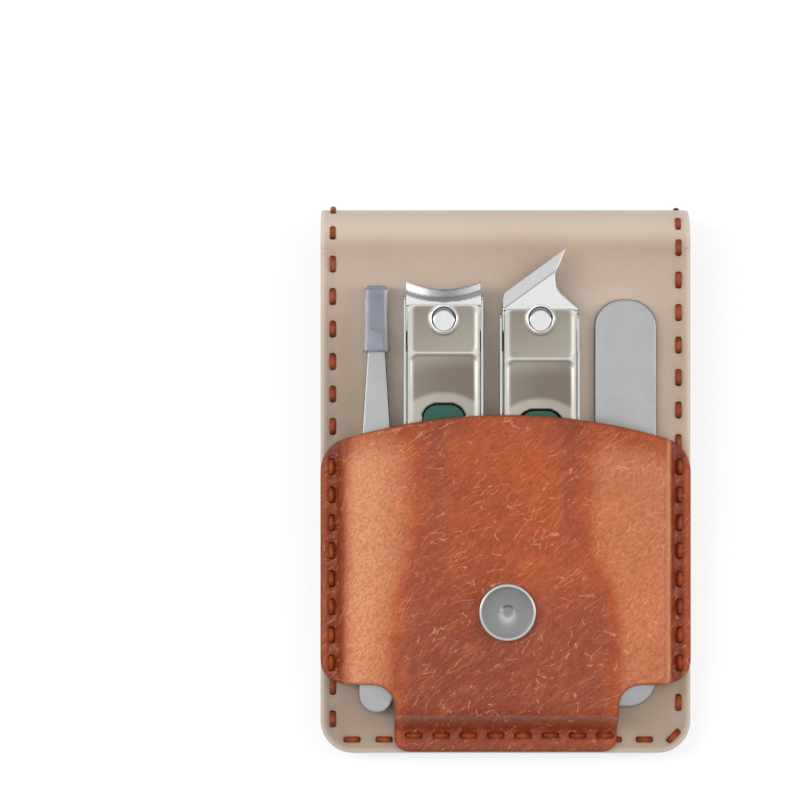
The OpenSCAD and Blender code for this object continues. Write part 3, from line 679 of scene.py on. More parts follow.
def stitch(x, y, z, turn, side=1, length=STITCH_LEN):
    """One stitch of waxed thread whose ends dive into their holes."""
    rings, ends = [], []
    a = math.radians(turn)
    around = np.linspace(0, 2 * math.pi, 14, endpoint=False)
    for t in np.sin(np.linspace(-math.pi / 2, math.pi / 2, 17)):
        height = STITCH_RISE - STITCH_DIVE * abs(t) ** 7
        girth = THREAD_W / 2 * (1 - 0.22 * abs(t) ** 8)
        over, up = girth * np.cos(around), girth * np.sin(around) * 0.85 + height
        along = np.full(len(around), t * length / 2 * (1 - 0.03 * t * t))
        rings.append(np.column_stack([x + over * math.cos(a) - along * math.sin(a),
                                      y + over * math.sin(a) + along * math.cos(a), z + side * up]))
        ends.append(np.full(len(around), 1 - abs(t)))
    points, faces, _ = loft(rings)
    return points, faces, np.concatenate(ends)


def sewn(seam, height, side=1):
    """A seam's stitches as one shape."""
    return joined([stitch(x, y, height, turn, side) for x, y, turn in seam])


def pressed(x, y, seam, depth, reach):
    """How far the thread presses a surface down around its stitches."""
    near = 5
    low = np.zeros(len(x))
    for sx, sy, turn in seam:
        close = (abs(x - sx) < near) & (abs(y - sy) < near)
        if not close.any():
            continue
        a = math.radians(turn)
        dx, dy = x[close] - sx, y[close] - sy
        along = -dx * math.sin(a) + dy * math.cos(a)
        beyond = np.maximum(abs(along) - STITCH_LEN / 2 + 0.1, 0)
        gap = np.hypot(dx * math.cos(a) + dy * math.sin(a), beyond)
        low[close] = np.maximum(low[close], depth * bell(gap, 0, reach))
    return low


# The two leaves of the case

LEAF_END = PANEL_LEN - BARE_FOLD
BESIDE_FOLD = 2
MAGNET_HOLE_R = 6.35


def leaf_outline(end):
    return both_sides(np.vstack([arc(SIDE - CORNER_R, CORNER_R, CORNER_R, -90, 0, 16), [[SIDE, end]]]))


LEAF = leaf_outline(LEAF_END)
# The same far past the fold, so that the end at the fold stays square
LEAF_SOFT = leaf_outline(PANEL_LEN + 60)


def groove(x, y, depth):
    """The shallow channel in which a seam runs, along the sides and round the free end."""
    return depth * bell(depth_in(LEAF_SOFT, x, y), SEAM_INSET, 0.8)


def board_edge(y):
    """Where the leather falls from the board to the fold."""
    return (STACK_T - 2 * HALF_FOLD) * smooth(y, LEAF_END - 2.6, LEAF_END)


def lining_face(seam, seed):
    """Faint waves with the seam pressed into them, flat beside the fold."""
    def face(x, y, d):
        height = 0.03 * lumps(x, y, 9, seed) - pressed(x, y, seam, 0.28, 0.7) - groove(x, y, 0.07)
        return height * smooth(LEAF_END - y, 0, BESIDE_FOLD)
    return face


def lining_tone(x, y, z):
    """Painted shade on the back's lining along its free end and beside the tweezers; painted light between
    the tools, which eases their shadows, and above the pocket."""
    foot = 0.25 * (1 - smooth(y, 12, 30))
    left = 0.45 * (1 - smooth(x, -34, -26)) * (1 - smooth(y, 66, 98))
    between = 0.6 * smooth(x, -32, -24) * (1 - smooth(x, 22, 34))
    between *= (1 - smooth(y, 84, 97)) * smooth(y, 50, 60)
    upper = 0.15 * smooth(y, 80, 92) * (1 - smooth(y, 96, 101))
    return np.maximum(foot, left) - upper - between


def flap_tone(x, y, z):
    """Painted highlights along one side and near the fold, and painted shade in a band between."""
    side = 0.42 * bell(x, -23, 13) * bell(y, 46, 30)
    near_fold = 0.5 * bell(x, 24, 15) * bell(y - 0.25 * (x - 24), 85, 7)
    return 0.5 * bell(x + 0.4 * (y - 70), 6, 11) * smooth(y, 40, 75) - side - near_fold


def leather_plate(seam, seed):
    """The outer leather, its face down: wrapped round the board's edge and thin over the board."""
    def top(x, y, d):
        return -LINING_T - BOARD_T * smooth(d, 0.7, 0.98) * smooth(LEAF_END - y, 0.3, 1.0)

    def bottom(x, y, d):
        rough = 0.05 * lumps(x, y, 7, seed) + 0.025 * lumps(x, y, 2.2, seed + 5)
        press = pressed(x, y, seam, 0.34, 0.72) + groove(x, y, 0.12)
        return -STACK_T + board_edge(y) + (rough + press) * smooth(LEAF_END - y, 0, BESIDE_FOLD)
    return plate(LEAF, top, bottom, 0.5, 0.9, 0.9, LEAF_SOFT)


def make_leaves():
    lining = plate(LEAF, lining_face(FRONT_SEAM, 3.1), level(-LINING_T), 0.55, 0.5, 0.05, LEAF_SOFT)
    build("back_lining_sheet", lining, LINING, PANEL, "back", ["back_lining"], tone=lining_tone)
    build("back_leather_wrap", leather_plate(FULL_SEAM, 1.7), CASE_LEATHER, PANEL, "back",
          ["back_leather"])
    build("flap_leather_wrap", turned_over(leather_plate(FULL_SEAM, 8.3)), CASE_LEATHER, FLAP,
          "flap", ["flap_leather"], tone=flap_tone)
    magnet_hole = arc(*SNAP, MAGNET_HOLE_R, 360, 0, 72)[:-1]
    lining = plate([LEAF, magnet_hole], lining_face(FULL_SEAM, 5.7), level(-LINING_T), 0.55, 0.4, 0.05)
    build("flap_lining_sheet", turned_over(lining), LINING, FLAP, "flap", ["flap_lining"])
    for name, seam, height, side, at in (
            ("back_thread_front", FRONT_SEAM, -LINING_SUNK, 1, PANEL),
            ("back_thread_rear", FULL_SEAM, SUNK - STACK_T, -1, PANEL),
            ("flap_thread_outer", FULL_SEAM, STACK_T - SUNK, 1, FLAP),
            ("flap_thread_inner", FULL_SEAM, TABLE_SUNK, -1, FLAP)):
        body = name.split("_")[0]
        build(name, sewn(seam, height, side), THREAD, at, body, [f"{body}_thread"], outward=True)


# The fold: bends of lining and leather, each between the middles of two links

BEND_STEPS = 16
PATH_STEPS = 800
STRIP_STEPS = 48
# How much lighter the fold's lining is painted: a painted highlight where the fold turns up towards the
# light.
BEND_LIGHT = 0.55
FOLD_STITCH_LEN = 3.3
FOLD_ROWS = [(x, start + FRONT_PITCH * i) for x, start in ((LEFT_U, 0.9), (RIGHT_U, 2.9)) for i in range(3)]


def bend_curve():
    """A bend from half a link before its hinge to half a link after it: places and angles, downwards."""
    t = np.linspace(0, 1, BEND_STEPS + 1)
    fine = np.linspace(0, 1, PATH_STEPS + 1)
    turned = TURN * smooth((fine[1:] + fine[:-1]) / 2)
    steps = np.column_stack([np.cos(turned), -np.sin(turned)]) / PATH_STEPS
    path = np.vstack([[0, 0], np.cumsum(steps, axis=0)])
    path *= LINK / 2 / (-path[-1, 1] / math.sin(TURN))
    spots = np.column_stack([np.interp(t, fine, path[:, 0]), np.interp(t, fine, path[:, 1])])
    return spots - [LINK / 2, 0], -TURN * smooth(t)


def strip_section(high, low, r_high, r_low):
    """A strip's section across the case, (x, height) counterclockwise seen along the case."""
    under = np.linspace(r_low - SIDE, SIDE - r_low, STRIP_STEPS + 1)
    over = np.linspace(SIDE - r_high, r_high - SIDE, STRIP_STEPS + 1)[1:-1]
    return np.vstack([
        np.column_stack([under, np.full(len(under), low)]),
        arc(SIDE - r_low, low + r_low, r_low, -90, 0, 4)[1:],
        arc(SIDE - r_high, high - r_high, r_high, 0, 90, 5),
        np.column_stack([over, np.full(len(over), high)]),
        arc(r_high - SIDE, high - r_high, r_high, 90, 180, 5),
        arc(r_low - SIDE, low + r_low, r_low, 180, 270, 4)[:-1]])


# The fold's painted highlight fades in along the first bend.
def first_bend_tone(x, y, z):
    return -BEND_LIGHT * smooth(y, -LINK / 2, LINK / 2)


def bend_tone(x, y, z):
    return np.full(len(x), -BEND_LIGHT)


def make_bend(k, slot, material, section, tone=None):
    """One layer's bend about a hinge, from the middle of the link before it to the middle of the link after
    it.
    """
    at = place(HINGES[k], TILT - k * TURN)
    spots, angles = bend_curve()
    x, height = section.T
    rings = [np.column_stack([x, y - height * math.sin(a), z + height * math.cos(a)])
             for (y, z), a in zip(spots, angles)]
    points, faces, _ = loft(rings)
    rim = np.tile(rim_share(SIDE - abs(x)), len(rings))
    covered = [f"fold_{slot}_{i}" for i in (k, k + 1) if 1 <= i < HINGE_COUNT]
    bend = build(f"fold_{slot}_bend_{k + 1}", (points, faces, rim), material, at, nodes=covered,
                 outward=True, tone=tone)
    sharpen(bend, 60)
    start, end = (at @ Vector((0, *spot)) for spot in (spots[0], spots[-1]))
    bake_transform(bend)
    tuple(start)
    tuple(end)


def make_fold():
    lining = strip_section(HALF_FOLD, HALF_FOLD - LINING_T, 0.5, 0.05)
    leather_strip = strip_section(HALF_FOLD - LINING_T, -HALF_FOLD, 0.3, 0.7)
    for k in range(HINGE_COUNT):
        make_bend(k, "lining", LINING, lining, bend_tone if k else first_bend_tone)
        make_bend(k, "leather", CASE_LEATHER, leather_strip)
    for k in range(1, HINGE_COUNT):
        parts = []
        for x, s in FOLD_ROWS:
            y = s - (k - 1) * LINK
            if 0 < y <= LINK:
                parts.append(stitch(x, y, HALF_FOLD - SUNK, 0, 1, FOLD_STITCH_LEN))
            if 0 < LINK - y <= LINK:
                parts.append(stitch(-x, LINK - y, SUNK - HALF_FOLD, 0, -1, FOLD_STITCH_LEN))
        at = place(HINGES[k - 1], TILT - k * TURN)
        build(f"fold_thread_{k}", joined(parts), THREAD, at, f"fold_{k}", outward=True)


# The pocket, seen from the front: a tab below, notches at both sides of it, and an arched mouth above

TAB_U = 22.2
TAB_V = 0.3
TAB_R = 2.8
NOTCH_R = 4.2
FOOT_V = 14.1
FOOT_R = 4.6
MOUTH_CORNER = (30, 56.22)
MOUTH_CORNER_R = 7
CROWN_V = 67.6
CROWN_R = 112
LEDGE_U = 31.4
FLANGE_U = 33.6
# The height of the shoulder and how far out the flat top reaches, over the tweezers and over the file
SHOULDERS = (6.6, 7.5)
FLATS = (16.5, 13.5)
SNAP_Z = 11.86


def pocket_outline():
    corner_u, corner_v = MOUTH_CORNER
    end = math.degrees(math.atan2(corner_v - CROWN_V + CROWN_R, corner_u))
    return both_sides(np.vstack([
        arc(TAB_U - TAB_R, TAB_V + TAB_R, TAB_R, -90, 0, 8),
        arc(TAB_U + NOTCH_R, FOOT_V - NOTCH_R, NOTCH_R, 180, 90, 8),
        arc(SIDE - FOOT_R, FOOT_V + FOOT_R, FOOT_R, -90, 0, 10),
        arc(corner_u, corner_v, MOUTH_CORNER_R, 0, end, 10),
        arc(0, CROWN_V - CROWN_R, CROWN_R, end, 90, 24)[1:-1]]))


def pocket_section(u):
    """Height of the pocket's outer face across it: flange, steep wall, shoulder, flat top. The leather
    rolls over the tweezers on the left and drops at a crisp ledge beside the file on the right."""
    left = u < 0
    shoulder = np.where(left, *SHOULDERS)
    flat = np.where(left, *FLATS)
    reach = np.abs(u)
    t = np.clip((reach - flat) / (LEDGE_U + 0.6 - flat), 0, 1)
    crown = shoulder + (POCKET_H - shoulder) * (1 - smooth(t) * 0.55 - 0.45 * t ** 2)
    steep = (SHOULDERS[1] + 0.5 - POCKET_T) / (FLANGE_U - LEDGE_U)
    wall = np.maximum(POCKET_T + (FLANGE_U - reach) * steep, POCKET_T)
    return soft_min(crown, wall, np.where(left, 1.6, 0.3))


def pocket_profile(v):
    """The same seen from the side: tab, end wall, fold line, flat top."""
    return np.interp(v, [0, 4.6, 5.0, 7.9, 8.4, 9.2, 10.4],
                     [POCKET_T, POCKET_T, POCKET_T + 0.4, 9.3, 10.2, 10.65, POCKET_H])


def pocket_creases(u, v):
    """Folds and dents that the leather has taken over the tools."""
    swirl = 0.16 * lumps(u + 0.4 * v, v - 0.5 * u, 9, 2.4, 3) * smooth(v, 12, 22) * smooth(-v, -66, -50)
    pull = 0.22 * np.sin(u / 3.1 + 1.3 * np.sin(v / 9)) * bell(v, 12, 5.5) * smooth(abs(u), 3, 12)
    dish = 0.25 * bell(np.hypot(u - SNAP[0], v - SNAP[1]), 6.2, 1.3)
    sag = 0.45 * bell(v, 40, 13) * bell(abs(u), 19, 5)
    flange = 0.07 * lumps(2.2 * u, v, 2.6, 6.2, 2) * smooth(abs(u), 31, 34)
    return swirl + pull - dish - sag + flange


def pocket_plate():
    blend, wall = 0.9, 1.15

    def top(u, v, d):
        height = soft_min(pocket_section(u), pocket_profile(v), blend)
        raised = smooth(height, POCKET_T, 5)
        height = height + pocket_creases(u, v) * (0.25 + 0.75 * raised)
        mouth = smooth(v, 50, 64) * np.exp(-d / 1.6)
        height = height + 0.25 * mouth * raised
        height = height + 0.03 * lumps(u, v, 1.8, 9.4)
        return np.maximum(height - pressed(u, v, POCKET_SEAM + TAB_SEAM, 0.42, 0.7), 0.75)

    def bottom(u, v, d):
        inner = soft_min(pocket_section(abs(u) + wall), pocket_profile(v - wall), blend)
        return np.maximum(inner - POCKET_T - 0.1, 0.03)
    return plate(pocket_outline(), top, bottom, 0.45, 0.55, 0.4)


def pocket_tone(u, v, z):
    """Painted highlights where it bulges over the tweezers and the file and along the right ledge; painted
    shade in the hollows between and below, towards the mouth, on the steep side walls and along the side
    seams.
    """
    low = 1 - smooth(v, 22, 44)
    left = 0.8 * smooth(u, -33.6, -29.2) * (1 - smooth(u, -28 - 2 * low, -15.5 - 4 * low))
    right = 0.36 * smooth(u, 14 + 6 * low, 20 + 5 * low) * (1 - smooth(u, 32.4, 33))
    ledge = 0.9 * bell(u, 32.4, 0.4) * smooth(v, 12, 18)
    between = 0.5 * bell(u, -13.8, 3) + 0.38 * bell(u, 12.8, 2.6)
    below = 0.72 * low * (1 - smooth(abs(u), 17.5, 24))
    mouth = 0.35 * smooth(v + (u / 16) ** 2, 60, 67)
    side = 0.85 * smooth(abs(u), np.where(u < 0, 31.6, 32.7), 33.2) * (1 - 0.8 * smooth(abs(u), 35.2, 36.4))
    seam = 0.5 * bell(abs(u), POCKET_U, 0.4) * smooth(v, 14, 16)
    dark = np.maximum(between * (1 - low), below) + mouth + np.maximum(side, seam)
    return dark - np.maximum(left, right) * (1 - 0.6 * mouth) - ledge


def snap_shape():
    """The snap's disc on its shank: a raised rim, a shallow dish and a low nub in the middle."""
    return lathe([
        (0, SNAP_Z), (0.25, SNAP_Z), (0.5, SNAP_Z), (0.8, SNAP_Z), (1.05, 11.84), (1.2, 11.79), (1.35, 11.7),
        (1.5, 11.63), (1.7, 11.6), (2.2, 11.6), (3.0, 11.62), (4.2, 11.7), (5.0, 11.8), (5.3, SNAP_Z),
        (5.46, 11.84), (5.6, 11.72), (5.66, 11.55), (5.65, 11.1), (5.5, 10.85), (5.2, 10.75), (1.4, 10.75),
        (1.4, 10.0), (0, 10.0)])


def snap_tone(x, y, z):
    """Painted highlights on the rim, and on the nub and its dish towards the free end."""
    r = np.hypot(x, y)
    nub = bell(r, 1.3, 0.3) * smooth(-y / np.maximum(r, 0.1), -0.3, 0.7)
    dish = bell(r, 1.9, 0.9) * bell(x, 0, 1.6) * (y < 0)
    return -0.15 * dish - 0.6 * smooth(r, 5.1, 5.4) - 0.9 * nub


def make_pocket():
    build("pocket_leather_shell", pocket_plate(), POCKET_LEATHER, PANEL, "back",
          ["pocket_leather"], tone=pocket_tone)
    seams = sewn(POCKET_SEAM + TAB_SEAM, POCKET_T - 0.2)
    build("pocket_thread_seams", seams, THREAD, PANEL, "back", ["pocket_thread"], outward=True)
    to_snap = Matrix.Translation((*SNAP, 0))
    build("snap_disc_turned", snap_shape(), SNAP_STEEL, PANEL @ to_snap, "back",
          ["snap_disc", "snap_rivet"], outward=True, tone=snap_tone)
    cap = [(1.8, 0.5), (6.1, 0.5), (6.2, 0.35), (6.2, 0.16), (6.1, 0.03), (5.9, 0.0), (2.3, 0.0), (2.0, 0.06),
           (1.85, 0.16), (1.8, 0.3), (1.8, 0.5)]
    build("magnet_cap_disc", lathe(cap), SNAP_STEEL, FLAP @ to_snap, "flap", ["magnet_cap"],
          outward=True)


# The clippers, in the tool's frame: y from the catcher's tail to the cutting edge

LEN = 85.9
HEAD_W = 14.8
HEAD_Y = LEN - 9.9
HEAD_Z = 6.4
EDGE_Z = 3.9
TAIL_HALF = 6
TAIL_Y = 0.6
# How far the curved edge is hollowed, and the circle that it follows
EDGE_DIP = 1.6
EDGE_R = ((HEAD_W / 2) ** 2 + EDGE_DIP ** 2) / (2 * EDGE_DIP)
EDGE_C = LEN - EDGE_DIP + EDGE_R
# The slant edge runs from heel to tip, with a round waist behind the tip
SLANT_HEEL = np.array([0.3 - HEAD_W / 2, LEN - 2.3])
SLANT_TIP = np.array([5.2, LEN + 6.6])
WAIST = (7.42, LEN + 0.5)
WAIST_R = 4.5
LEVER_W = 14.4
LEVER_TOP = 7.9
# The recess and the scoop in the lever, and the ridge between them
RECESS_W = LEVER_W - 1.4
RECESS_R = 1.5
HALF_RIDGE = 0.22
GRIP_W = 8.3
GRIP_LEN = 30
GRIP_R = 2.9
POST_Y = LEN - 7.8
RING_Y = POST_Y + 0.27
# How much nearer to the tail the disc of the post stands than its ring
DISC_BACK = 0.38

# Where each lever's lip, recess, ridge and grip end along it
Clipper = namedtuple("Clipper", "kind slant lip_end recess_end ridge grip_end")
CLIPPERS = (Clipper("curved", False, LEN - 4.6, LEN - 5.0, LEN - 14.3, LEN - 24.5),
            Clipper("slant", True, LEN - 5.55, LEN - 5.75, LEN - 15.5, LEN - 25.7))


def grip_loop(c, grow=0.0):
    return round_rect(GRIP_W + 2 * grow, c.grip_end - GRIP_LEN - grow, c.grip_end + grow, GRIP_R + grow)


def lever_marks(c, x, y):
    """How far a point is into the recess round the post and into the scoop for the thumb, and how far it is
    from the ridge between them to the arch over the grip."""
    above = round_rect(RECESS_W, c.ridge + HALF_RIDGE, c.recess_end, RECESS_R)
    below = round_rect(RECESS_W, c.grip_end - 40, c.ridge - HALF_RIDGE, RECESS_R)
    recess, scoop = (smooth(depth_in(loop, x, y), -0.35, 0.5) for loop in (above, below))
    recess *= smooth(np.hypot(x, y - RING_Y), 2.75, 3.15)
    arch = c.grip_end + 2.3 - 2.4 * (x / RECESS_W * 2) ** 2
    return recess, scoop, (c.ridge - y) / (c.ridge - arch)


def lever_plate(c):
    """The pressed lever, sunk under the post and the grip, with a thin lip over the jaw's head."""
    grip = grip_loop(c, 0.1)

    def top(x, y, d):
        recess, scoop, t = lever_marks(c, x, y)
        well = smooth(depth_in(grip, x, y), -0.1, 0.1)
        seat = 1 - smooth(np.hypot(x, y - RING_Y), 2.35, 2.6)
        dip = 0.14 * recess + scoop * (0.1 + 0.16 * (1 - np.clip(t, 0, 1) ** 1.6))
        return LEVER_TOP - dip - 0.7 * np.maximum(well, seat)

    def bottom(x, y, d):
        return np.where(y > c.lip_end - 0.55, HEAD_Z + 0.06, 5.0)
    return plate(round_rect(LEVER_W, 1, c.lip_end, 1.5, 0.8), top, bottom, 0.3, 0.25, 0.1)


def lever_tone(c):
    """Painted shade in the recess, in the scoop, along the outermost edge and under the post, and a painted
    highlight on the lip.
    """
    def tone(x, y, z):
        recess, scoop, t = lever_marks(c, x, y)
        depth = 0.8 + 0.2 * smooth(t, 0.05, 0.5) - 0.42 * smooth(t + 0.006 * abs(x), 0.93, 1.06)
        shade = recess * (0.84 - 0.018 * (c.recess_end - y) - 0.008 * x) + scoop * (depth + 0.015 * x)
        inset = LEVER_W / 2 - abs(x)
        side = 0.4 * (1 - smooth(inset, 0.3, 0.6)) * smooth(c.recess_end - y, 0, 1.5)
        lip = 0.7 * smooth(y, c.recess_end + 0.1, c.recess_end + 0.4)
        under = 0.3 * bell(np.hypot(x, y - POST_Y + 0.1), 2.85, 0.2) * smooth(POST_Y - y, 0.6, 2.2)
        return shade * smooth(inset, 0.6, 1.5) + side - lip + under
    return tone


def leaf_height(y):
    """Underside of the sprung upper jaw, from its tail to its head."""
    return np.interp(y, [TAIL_Y, 10, LEN - 26, HEAD_Y + 2], [2.1, 2.1, 3.4, 3.6])


def jaw_outline(c):
    """The upper jaw from above: a narrow tail, and a head that ends in its cutting edge."""
    tail = np.array([[TAIL_HALF, TAIL_Y], [TAIL_HALF, HEAD_Y - 2], [HEAD_W / 2, HEAD_Y]])
    if c.slant:
        waist = arc(*WAIST, WAIST_R, 230, 156, 12)
        left = [SLANT_TIP, SLANT_HEEL, [-HEAD_W / 2, LEN - 4]]
        edge = np.vstack([[[HEAD_W / 2, LEN - 5.3]], waist, left])
    else:
        span = math.degrees(math.asin(HEAD_W / 2 / EDGE_R))
        edge = arc(0, EDGE_C, EDGE_R, span - 90, -90 - span, 24)
    return np.vstack([tail, edge, (tail * [-1, 1])[::-1]])


def from_edge(c, x, y):
    """How far a point of the upper jaw is behind its cutting edge."""
    if c.slant:
        along = (SLANT_TIP - SLANT_HEEL) / np.linalg.norm(SLANT_TIP - SLANT_HEEL)
        return (x - SLANT_HEEL[0]) * along[1] - (y - SLANT_HEEL[1]) * along[0]
    return np.hypot(x, y - EDGE_C) - EDGE_R


def upper_jaw_plate(c):
    """A sprung leaf with a ground head. The curved edge has a second bevel behind the first."""
    depths, heights = [0, 1.75, 2.45, 2.55], [EDGE_Z + 0.15, 5.3, HEAD_Z - 0.05, HEAD_Z]
    if c.slant:
        depths, heights = [0, 2.35, 2.5], [EDGE_Z + 0.15, HEAD_Z - 0.1, HEAD_Z]

    def top(x, y, d):
        head = np.interp(from_edge(c, x, y), depths, heights)
        return np.where(y > c.lip_end - 0.3, head, leaf_height(y) + 1.2)

    def bottom(x, y, d):
        return np.interp(y, [HEAD_Y + 2, HEAD_Y + 5.5], [0, 1]) * (EDGE_Z - 3.6) + leaf_height(y)
    return plate(jaw_outline(c), top, bottom, 0.25, 0.12, 0.08)


def jaw_tone(c):
    """The ground bevels of a jaw catch the light from one side to the other."""
    def tone(x, y, z):
        s = from_edge(c, x, y)
        if c.slant:
            return -0.45 * (1 - smooth(s, 2.2, 2.4)) - 0.15 * bell(s, 2.38, 0.16)
        edge = 1 - smooth(s, 1.65, 1.85)
        first = 0.6 * bell(x, 1, 3) + 0.12 * smooth(x, 1, 5) - 0.6 * smooth(-x, 1.2, 5.5)
        second = (0.65 - 0.4 * smooth(abs(x), 1, 7)) * smooth(s, 1.6, 1.9) * (1 - smooth(s, 2.2, 2.9))
        return first * edge + second
    return tone


def post_shape():
    """The post's ring, and the disc that stands out of it a little nearer to the tail."""
    ring = lathe([(0, 0.1), (3.2, 0.1), (3.2, 0.8), (1.8, 0.8), (1.8, 7.1), (2.6, 7.1), (2.74, 7.25),
                  (2.82, 7.5), (2.82, 7.95), (2.76, 8.12), (2.6, 8.18), (2.46, 8.13), (2.38, 8.03),
                  (2.3, 7.95), (2.2, 7.92), (0, 7.92)])
    points, faces, rim = lathe([(0, 7.85), (2.18, 7.85), (2.18, 8.3), (2.15, 8.4), (2.06, 8.46), (1.9, 8.49),
                                (0, 8.5)])
    return joined([ring, (points - [0, DISC_BACK, 0], faces, rim)])


def post_tone(x, y, z):
    """Painted shade in the groove round the disc, and painted highlights on the ring, strongest on its left.
    """
    ring = smooth(np.hypot(x, y), 2.3, 2.45)
    return np.where(z > 8.2, 0, 0.9 * (1 - ring) - ring * (0.25 + 0.5 * smooth(-x, 0, 1.5)))


def make_clipper(c):
    body = f"{c.kind}_clipper"
    at = tool_frame(f"{body}_catcher")
    build(f"{c.kind}_lever_pressed", lever_plate(c), LEVER_STEEL, at, body, [f"{body}_lever"],
          tone=lever_tone(c))
    jaw = build(f"{c.kind}_upper_jaw_ground", upper_jaw_plate(c), BRIGHT_STEEL, at,
                f"{c.kind}_jaw", [f"{body}_upper_jaw"], tone=jaw_tone(c))
    sharpen(jaw, 24)
    build(f"{c.kind}_post_head", post_shape(), BRIGHT_STEEL, at @ Matrix.Translation((0, RING_Y, 0)),
          body, [f"{body}_post"], outward=True, tone=post_tone)
    grip = plate(grip_loop(c), lambda x, y, d: LEVER_TOP + 0.06 * smooth(d, 0.3, 1.6), level(7.05), 0.4, 0.3,
                 0.1)
    build(f"{c.kind}_grip_pad", grip, GRIP, at, body, [f"{body}_grip"])


# Tweezers, cap and nail file

TWEEZERS_LEN = 76.5
ARM_T = 1.0
ARM_R = 3.5
TIP_HALF = 1.45
MIDDLE_Z = 2.5
CAP_Y = TWEEZERS_LEN - 4.6
CAP_W = 5.5
CAP_H = 5.9
CAP_LEN = 13.2
FILE_W = 12.4
FILE_END = 82.4
FILE_R = 5.6


def arm_outline():
    """One arm seen from above. Its blade narrows to a slanted tip."""
    tip = [[TIP_HALF, TWEEZERS_LEN - 0.8], [-TIP_HALF, TWEEZERS_LEN]]
    right = np.vstack([arc(0, ARM_R, ARM_R, -90, 0, 12), [[2.8, 56], [1.8, CAP_Y], [TIP_HALF, CAP_Y + 1.2]]])
    return np.vstack([right, tip, (right * [-1, 1])[::-1][:-1]])


def arm_shape():
    """The rear arm, bowed from the weld at its tail to its tip."""
    def low(x, y, d):
        return np.interp(y, [0, 14, 20, 26, 30, 56, TWEEZERS_LEN], [1.5, 1.5, 0.95, 0.2, 0.0, 0.0, 1.1])
    return plate(arm_outline(), lambda x, y, d: low(x, y, d) + ARM_T, low, 0.35, 0.3, 0.3)


def cap_ring(y, w, h, r):
    """A round-cornered ring about the tweezers' axis."""
    loop = np.vstack([arc(sx * (w / 2 - r), sz * (h / 2 - r), r, a, a + 90, 6)
                      for sx, sz, a in ((1, -1, -90), (1, 1, 0), (-1, 1, 90), (-1, -1, 180))])
    return np.column_stack([loop[:, 0], np.full(len(loop), y), loop[:, 1]])


def cap_shape():
    """The tip cap: tapered, its mouth rimmed, its end rounded, and hollow."""
    w, h, rim, taper_w, taper_h, wall = CAP_W, CAP_H, 0.12, 0.5, 0.2, 0.55
    outer = [cap_ring(0.0, w - 0.2, h - 0.2, 1.1), cap_ring(0.15, w, h, 1.2), cap_ring(0.7, w, h, 1.2),
             cap_ring(0.9, w - rim, h - rim, 1.15)]
    outer += [cap_ring(CAP_LEN * t, w - rim - taper_w * t, h - rim - taper_h * t, 1.2)
              for t in np.linspace(0.15, 0.9, 6)]
    for a in np.radians(np.linspace(0, 84, 7)[1:]):
        drop = 1.5 * (1 - math.cos(a))
        outer.append(cap_ring(CAP_LEN - 1.0 + math.sin(a), w - 0.65 - drop, h - 0.3 - drop, 1.25))
    inner = [cap_ring(0.0, w - 2 * wall, h - 2 * wall, 0.8)]
    inner += [cap_ring(CAP_LEN * t, w - 2 * wall - taper_w * t, h - 1.2 - taper_h * t, 0.8)
              for t in np.linspace(0.1, 0.92, 6)]
    return loft(inner[::-1] + outer)


def make_tweezers():
    at = tool_frame("tweezers_rear_arm")
    arm = arm_shape()
    build("tweezers_rear_blade", arm, SATIN_STEEL, at, "tweezers", ["tweezers_rear_arm"])
    build("tweezers_front_blade", turned_over(arm, 2 * MIDDLE_Z), SATIN_STEEL, at,
          "tweezers_arm", ["tweezers_front_arm"])
    # The cap is tinted bluish grey, with painted highlights along the sides of its upper half.
    build("tip_cap_shell", cap_shape(), CLEAR, at @ Matrix.Translation((0, CAP_Y, MIDDLE_Z)),
          "tip_cap", ["tip_cap"], outward=True,
          tone=lambda x, y, z: 1 - 1.6 * smooth(abs(x), 1.2, 2.4) * (z > 0))


def make_file():
    outline = round_rect(FILE_W, 1, FILE_END, FILE_R, n=16)
    blade = plate(outline, lambda x, y, d: 1.1 + 0.1 * smooth(d, 0.2, 2.5), level(0), 0.5, 0.35, 0.25)
    build("nail_file_blade", blade, SATIN_STEEL, tool_frame("nail_file"), "nail_file",
          ["nail_file"])


def dress_cad_nodes():
    """Finishes for the pieces whose solids stay as they are."""
    card, magnet = card_finish(), magnet_finish()
    finish = {"back_board": card, "flap_board": card, "magnet": magnet, "snap_washer": SNAP_STEEL}
    for c in CLIPPERS:
        finish[f"{c.kind}_clipper_catcher"] = CATCHER_STEEL
        finish[f"{c.kind}_clipper_lower_jaw"] = EDGE_STEEL
        finish[f"{c.kind}_clipper_pin"] = BRIGHT_STEEL
    for name, material in finish.items():
        for slot in frame["nodes"][name].material_slots:
            slot.material = material


# Room: white floor, soft lamps, camera

FLOOR_HALF = 6.0
ROOM_LIGHT = 0.42
# The camera stands square to the panel. Its frame is this wide, in metres, about this place on the panel
FIELD = 0.16
AIM = (-21.1, 70.6, 0)
CAMERA_DISTANCE = 0.8
SENSOR = 36.0


def white_rays(tree):
    """One for the rays that see a white room: the camera's, and those off metal and through the cap."""
    rays = add_node(tree, "LightPath").outputs
    seen = rays["Is Camera Ray"]
    for ray in ("Is Glossy Ray", "Is Transmission Ray"):
        seen = add_node(tree, "Math", {0: seen, 1: rays[ray]}, operation="MAXIMUM").outputs[0]
    return seen


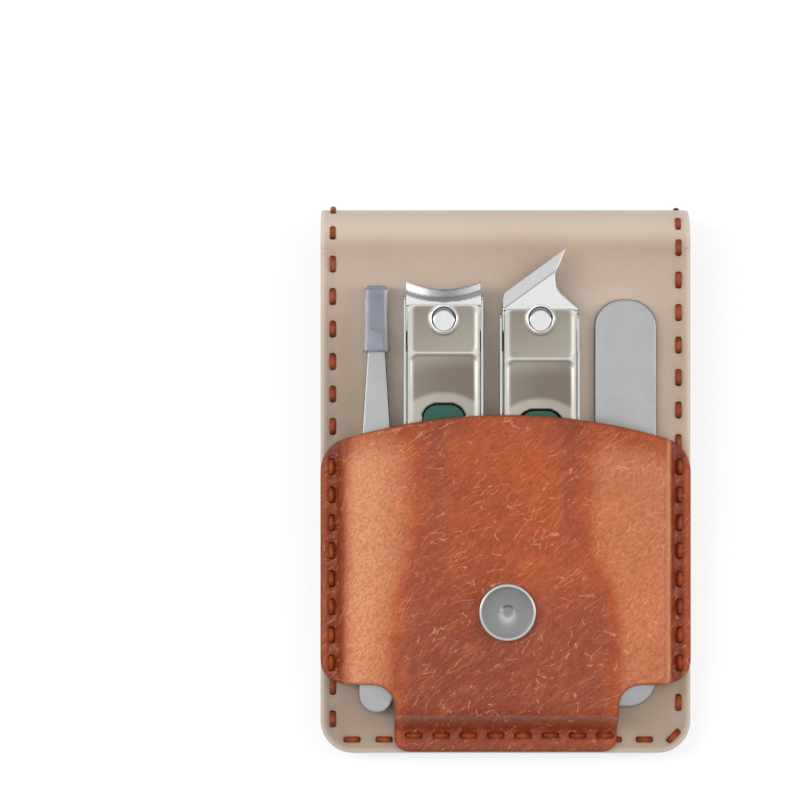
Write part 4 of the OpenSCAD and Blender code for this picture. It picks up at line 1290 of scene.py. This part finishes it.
def make_floor():
    s = FLOOR_HALF
    mesh = bpy.data.meshes.new("floor")
    mesh.from_pydata([(-s, -s, 0), (s, -s, 0), (s, s, 0), (-s, s, 0)], [], [(0, 1, 2, 3)])
    p = Paint("white_floor")
    plain = p.node("BsdfDiffuse", {"Color": (0.8, 0.8, 0.8, 1)}).outputs[0]
    shadow = p.node("BsdfDiffuse", {"Color": (0.34, 0.34, 0.34, 1)}).outputs[0]
    glow = p.node("Emission", {"Color": (1, 1, 1, 1), "Strength": 0.7}).outputs[0]
    white = p.node("AddShader", {0: shadow, 1: glow}).outputs[0]
    mixed = p.node("MixShader", {0: white_rays(p.tree), 1: plain, 2: white}).outputs[0]
    feed(p.tree.nodes["Material Output"].inputs["Surface"], mixed)
    mesh.materials.append(p.material)
    add_object("floor", mesh)


def make_lamp(name, place_at, size, radiance):
    """A soft lamp of the given radiance, aimed at the case."""
    aim = Vector((0, 0, 0.01))
    data = bpy.data.lights.new(name, "AREA")
    data.shape = "RECTANGLE"
    data.size, data.size_y = size
    data.energy = radiance * math.pi * size[0] * size[1]
    lamp = add_object(name, data)
    lamp.location = place_at
    lamp.rotation_euler = (aim - Vector(place_at)).to_track_quat("-Z", "Y").to_euler()


def make_lamps():
    make_lamp("overhead", (0.05, -0.1, 1.4), (0.9, 0.9), 1.3)
    make_lamp("left_key", (-0.62, 0.12, 0.78), (0.3, 0.8), 5.5)
    make_lamp("right_fill", (0.72, 0.05, 0.62), (0.24, 0.8), 4.5)
    make_lamp("far_rim", (0.0, 0.85, 0.5), (0.9, 0.25), 1.6)


def make_world():
    world = bpy.data.worlds.new("studio")
    bpy.context.scene.world = world
    world.use_nodes = True
    tree = world.node_tree
    light = add_node(tree, "MapRange", {"Value": white_rays(tree), "To Min": ROOM_LIGHT, "To Max": 1.0})
    back = tree.nodes["Background"]
    feed(back.inputs["Strength"], light.outputs[0])
    feed(back.inputs["Color"], (1, 1, 1, 1))


def make_camera():
    out = (PANEL.to_3x3() @ Vector((0, 0, 1))).normalized()
    data = bpy.data.cameras.new("camera")
    data.sensor_width = SENSOR
    data.lens = SENSOR * CAMERA_DISTANCE / FIELD
    camera = add_object("camera", data)
    stand = PANEL @ Vector(AIM) + out * CAMERA_DISTANCE
    camera.matrix_world = Matrix.Translation(stand) @ Matrix.Rotation(TILT, 4, "X")
    bpy.context.scene.camera = camera


make_camera()
make_world()
make_lamps()
make_floor()
make_leaves()
make_fold()
make_pocket()
for clipper in CLIPPERS:
    make_clipper(clipper)
make_tweezers()
make_file()
dress_cad_nodes()

bpy.context.scene.view_settings.view_transform = "Standard"
